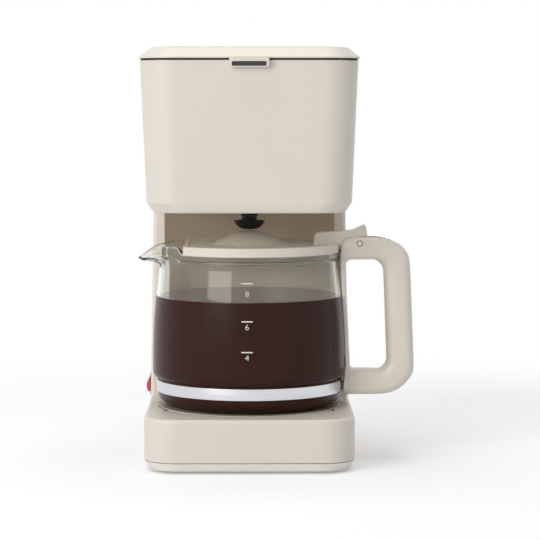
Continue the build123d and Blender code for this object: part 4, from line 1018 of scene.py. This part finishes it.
def handle_body():
    """The handle: an outer and an inner closed outline, point for point, and between them a soft
    rounded-square section P = M + N a c + Y b s, where c and s are the cosine and sine of the section's
    angle raised to a power under one. The power is small at the flat ear and larger along the grip.
    The outer outline is evened a few times, each point drawn to the mean of its neighbours."""
    evenings = 14
    ear_end, bend = 84.0, 20.0
    ear_power, grip_power = 0.42, 0.68
    outer = even_ring(handle_outer, handle_outer_rounds)
    hollow = even_ring(handle_inner, handle_inner_rounds)
    for _ in range(evenings):
        outer = (np.roll(outer, 1, axis=0) + 2 * outer + np.roll(outer, -1, axis=0)) / 4
    centre = (outer + hollow) / 2
    half = (outer - hollow) / 2
    turn = np.linspace(0, 2 * math.pi, 56, endpoint=False)[None]
    along = np.clip((centre[:, :1] - ear_end) / bend, 0, 1)
    power = ear_power + (grip_power - ear_power) * along * along * (3 - 2 * along)
    c, s = (np.sign(wave) * np.abs(wave) ** power for wave in (np.cos(turn), np.sin(turn)))
    side = centre[:, None, :] + half[:, None, :] * c[..., None]
    return skin("handle_grip", around_jug(upright(side, handle_half * s)), closed_along=True, sharp=50)


def even_ring(corners, rounds):
    """A closed outline with rounded corners and the same number of points along each side."""
    steps = 10
    arcs = rounded_ring(corners, rounds, steps).reshape(len(corners), steps + 1, 2)
    return with_sides(arcs, 24).reshape(-1, 2)


def make_handle():
    """The handle, with room cut in it for the lever, the jug and the pin, and the pin itself."""
    slot_gap, bore_gap = 0.6, 0.4
    half_slot = lever_half + slot_gap
    slot = block(60, 103, jug_y - half_slot, jug_y + half_slot, 149.0, 180)
    clear = [(0, 20), (67.2, 20), (71.4, 70), (67.3, 149.9), (67.1, 190), (0, 190)]
    room = turned("room", clear, 96)
    grip = handle_body()
    for tool in (slot, room, across_bar(pin_radius + bore_gap, 20.0)):
        grip = cut_mesh(grip, tool)
    piece("handle_grip", grip, "jug", "casing", ["handle"])
    piece("lid_pin_caps", across_bar(pin_radius, pin_half), "jug", "casing", ["carafe_pin"])


# Lid of the jug

def jug_lid_ring():
    """Ring, top and dome turned in one. The dome's height is (1 - u^1.4) of its rise at the share u of
    its radius, so it is a soft cone. The same form runs underneath, and a lip stands in the rim."""
    floor = ring_low + 5.7
    under = floor - 2.0
    lip = ring_radius - 3
    u = np.linspace(3.0 / dome_radius, 1, 18)
    rise = dome_top + 0.5 - floor
    dome = np.column_stack([dome_radius * u, floor + rise * (1 - u ** 1.4)])
    side = rounded_path(
        [(dome_radius, floor), (dome_radius + 4, floor), (lip, floor), (lip, ring_high),
         (ring_radius, ring_high), (ring_radius, ring_low), (lip, ring_low), (lip, under),
         (dome_radius + 4, under), (dome_radius, under)],
        [3.0, 0.8, 0.3, 0.7, 0.5, 0.3, 0.8, 3.0], 5,
    )
    section = np.concatenate([dome, side[1:], (dome - [0.6, 2.0])[::-1]])
    return turned("lid_ring", section, 200, closed_along=True)


def lid_lever():
    """The arm and thumb lever in side view, with soft edges."""
    edge = ring_radius - 19
    outline = rounded_ring(
        [(edge, ring_low + 0.5), (ring_radius - 0.5, ring_low + 0.5), (pin_x - 10.5, pin_z + 2.4),
         (pin_x + 3.6, pin_z + 2.4), (pin_x + 6.0, pin_z + 4.6), (pin_x + 4.4, pin_z + 13.6),
         (pin_x - 5.0, pin_z + 9.4), (edge + 1.2, pin_z + 7.9), (edge, pin_z + 1.0)],
        [1.2, 2.5, 3.0, 2.0, 1.5, 0.95, 9.0, 3.5, 2.0], 6,
    )
    return side_piece("lid_arm", outline, lever_half, 0.9, jug_y)


def across_bar(radius, half):
    """A round bar along Y at the lid's pin, with a rounded edge."""
    section = rounded_path([(0, -half), (radius, -half), (radius, half), (0, half)], [0.4, 0.4], 4)
    bar = lathe(section, 48)
    return skin("bar", np.stack([bar[..., 0] + pin_x, bar[..., 2] + jug_y, bar[..., 1] + pin_z], axis=-1))


def make_jug_lid():
    """The jug's lid: its ring cut off straight at the spout and closed there, with lever and hub."""
    half = math.sqrt(ring_radius ** 2 - lid_chord ** 2) - 0.4
    low, high = -lid_chord, -lid_chord + 3
    corners = [(low, jug_y - half), (high, jug_y - half), (high, jug_y + half), (low, jug_y + half)]
    end = stacked([rounded_ring(corners, 0.6, 4)] * 3, (ring_low, ring_high - 0.4, ring_high))
    lid = cut_mesh(jug_lid_ring(), block(-99, low, -130, 90, 100, 200))
    for added in (skin("end", end, capped=True), lid_lever(), across_bar(5.0, lever_half)):
        lid = cut_mesh(lid, added, "UNION")
    piece("jug_lid_shell", lid, "jug_lid", "casing", ["carafe_lid"])


def rocker():
    """The red rocker: a sector of a round bar, tipped to its off side."""
    drop, proud, half_sweep = 1.4, 2.9, 36
    low, high = box_mm("switch_housing")
    _, y, z = (low + high) / 2 - middle
    pivot = [low[0] - middle[0] - proud + rocker_radius, z - drop]
    turn = np.linspace(-half_sweep, half_sweep, 25) * math.pi / 180
    heel = [(-0.4, 2.4), (0.6, 1.6), (0.6, -1.6), (-0.4, -2.4)]
    outline = np.concatenate([polar(rocker_radius, turn) * [-1, 1], heel])
    c, s = math.cos(rocker_tilt), math.sin(rocker_tilt)
    outline = outline @ np.array([[c, -s], [s, c]]) + pivot
    return side_piece("rocker_key", outline, 5.0, 0.7, y)


def make_jug():
    shell = piece("jug_shell", jug_shell(), "jug", "glass", ["jug_glass"])
    shell.visible_shadow = False
    piece("coffee_fill", coffee_body(), "jug", "glass", finish=brewed_coffee())
    piece("band_shell", band_shell(), "jug", "steel", ["jug_band"], brushed_steel())
    make_marks()
    make_handle()
    make_jug_lid()


make_casing()
make_lid()
make_turned_parts()
make_jug()
piece("rocker_key", rocker(), "switch_rocker", "red_plastic", ["switch_rocker"])


# Floor, light and camera. Lamps and camera are placed in metres

fill_level = 0.42
floor_lift = 0.26
fade_to_white = 0.3, 0.65
pure_white = (1, 1, 1, 1)
white_rays = ("Is Camera Ray", "Is Glossy Ray", "Is Transmission Ray")
lamp_aim = (middle[0] * mm, 0.0, 0.15)


def studio_floor():
    """A wide white floor that shows plain white where nothing shades it. What the camera, glossy and
    glass rays see is lifted towards white, and the shadow stays."""
    reach = 12.0
    mesh = bpy.data.meshes.new("studio_floor")
    corners = [(-reach, -reach, 0), (reach, -reach, 0), (reach, reach, 0), (-reach, reach, 0)]
    mesh.from_pydata(corners, [], [[0, 1, 2, 3]])
    finish = Finish("floor_white", Roughness=0.9)
    tone = finish.noise(400, 2.0)
    finish.send("Base Color", finish.blend(tone, (0.80, 0.80, 0.81, 1), (0.82, 0.82, 0.82, 1)))
    camera, glossy, clear = (finish.node("ShaderNodeLightPath", output=ray) for ray in white_rays)
    seen = finish.maths("MINIMUM", camera + glossy + clear, 1.0)
    plain = Value(finish, finish.shader.outputs[0])
    glow = finish.node("ShaderNodeEmission", {"Color": pure_white, "Strength": floor_lift})
    lifted = finish.node("ShaderNodeAddShader", {0: plain, 1: glow})
    near = finish.node("ShaderNodeMixShader", {0: seen, 1: plain, 2: lifted})
    away = finish.node("ShaderNodeVectorMath", {0: finish.at}, output="Value", operation="LENGTH")
    far = finish.smoothly(away, *fade_to_white) * seen
    white = finish.node("ShaderNodeEmission", {"Color": pure_white, "Strength": 1.0})
    mixed = finish.node("ShaderNodeMixShader", {0: far, 1: near, 2: white})
    finish.tree.links.new(mixed.socket, finish.output.inputs["Surface"])
    mesh.materials.append(finish.material)
    linked("studio_floor", mesh)


def studio_world():
    """White behind everything for camera, glossy and glass rays, and a soft even fill otherwise."""
    world = bpy.data.worlds.new("studio_world")
    world.use_nodes = True
    nodes, links = world.node_tree.nodes, world.node_tree.links
    nodes.clear()
    path = nodes.new("ShaderNodeLightPath")
    seen = path.outputs[white_rays[0]]
    for ray in white_rays[1:]:
        total = nodes.new("ShaderNodeMath")
        total.operation = "ADD"
        total.use_clamp = True
        links.new(seen, total.inputs[0])
        links.new(path.outputs[ray], total.inputs[1])
        seen = total.outputs[0]
    mix = nodes.new("ShaderNodeMixShader")
    links.new(seen, mix.inputs[0])
    for side, shade, strength in ((1, (0.97, 0.98, 1.0, 1), fill_level), (2, pure_white, 1.0)):
        back = nodes.new("ShaderNodeBackground")
        back.inputs["Color"].default_value = shade
        back.inputs["Strength"].default_value = strength
        links.new(back.outputs[0], mix.inputs[side])
    output = nodes.new("ShaderNodeOutputWorld")
    links.new(mix.outputs[0], output.inputs["Surface"])
    bpy.context.scene.world = world


def soft_lamp(name, at, size, level):
    """A square lamp that lights a surface facing it at the aim to that level of its own colour."""
    light = bpy.data.lights.new(name, "AREA")
    light.shape = "SQUARE"
    light.size = size
    towards = np.array(lamp_aim) - np.array(at)
    light.energy = level * math.pi ** 2 * float(np.linalg.norm(towards)) ** 2
    lamp = linked(name, light)
    lamp.location = at
    lamp.rotation_euler = Vector(towards).to_track_quat("-Z", "Y").to_euler()


def photo_camera():
    """The camera of the photograph, from a fit of measured corners: far off with a long lens, level
    with the head and looking slightly down."""
    frame_pixels, focal_pixels = 540, 2200
    sensor = 36.0
    aside, away, height = 0.00059, 1.6314, 0.2610
    look_down, look_aside = 0.0761, 0.0090
    camera = bpy.data.cameras.new("photo_camera")
    camera.sensor_width = sensor
    camera.lens = focal_pixels / frame_pixels * sensor
    holder = linked("photo_camera", camera)
    holder.location = (middle[0] * mm + aside, middle[1] * mm - away, height)
    holder.rotation_euler = (math.pi / 2 - look_down, 0, -look_aside)
    bpy.context.scene.camera = holder


soft_lamp("key_lamp", at=(-1.35, -1.75, 0.95), size=1.3, level=0.44)
soft_lamp("top_lamp", at=(-0.1, 0.0, 2.2), size=1.5, level=0.40)
studio_floor()
studio_world()
photo_camera()
bpy.context.scene.view_settings.view_transform = "Standard"
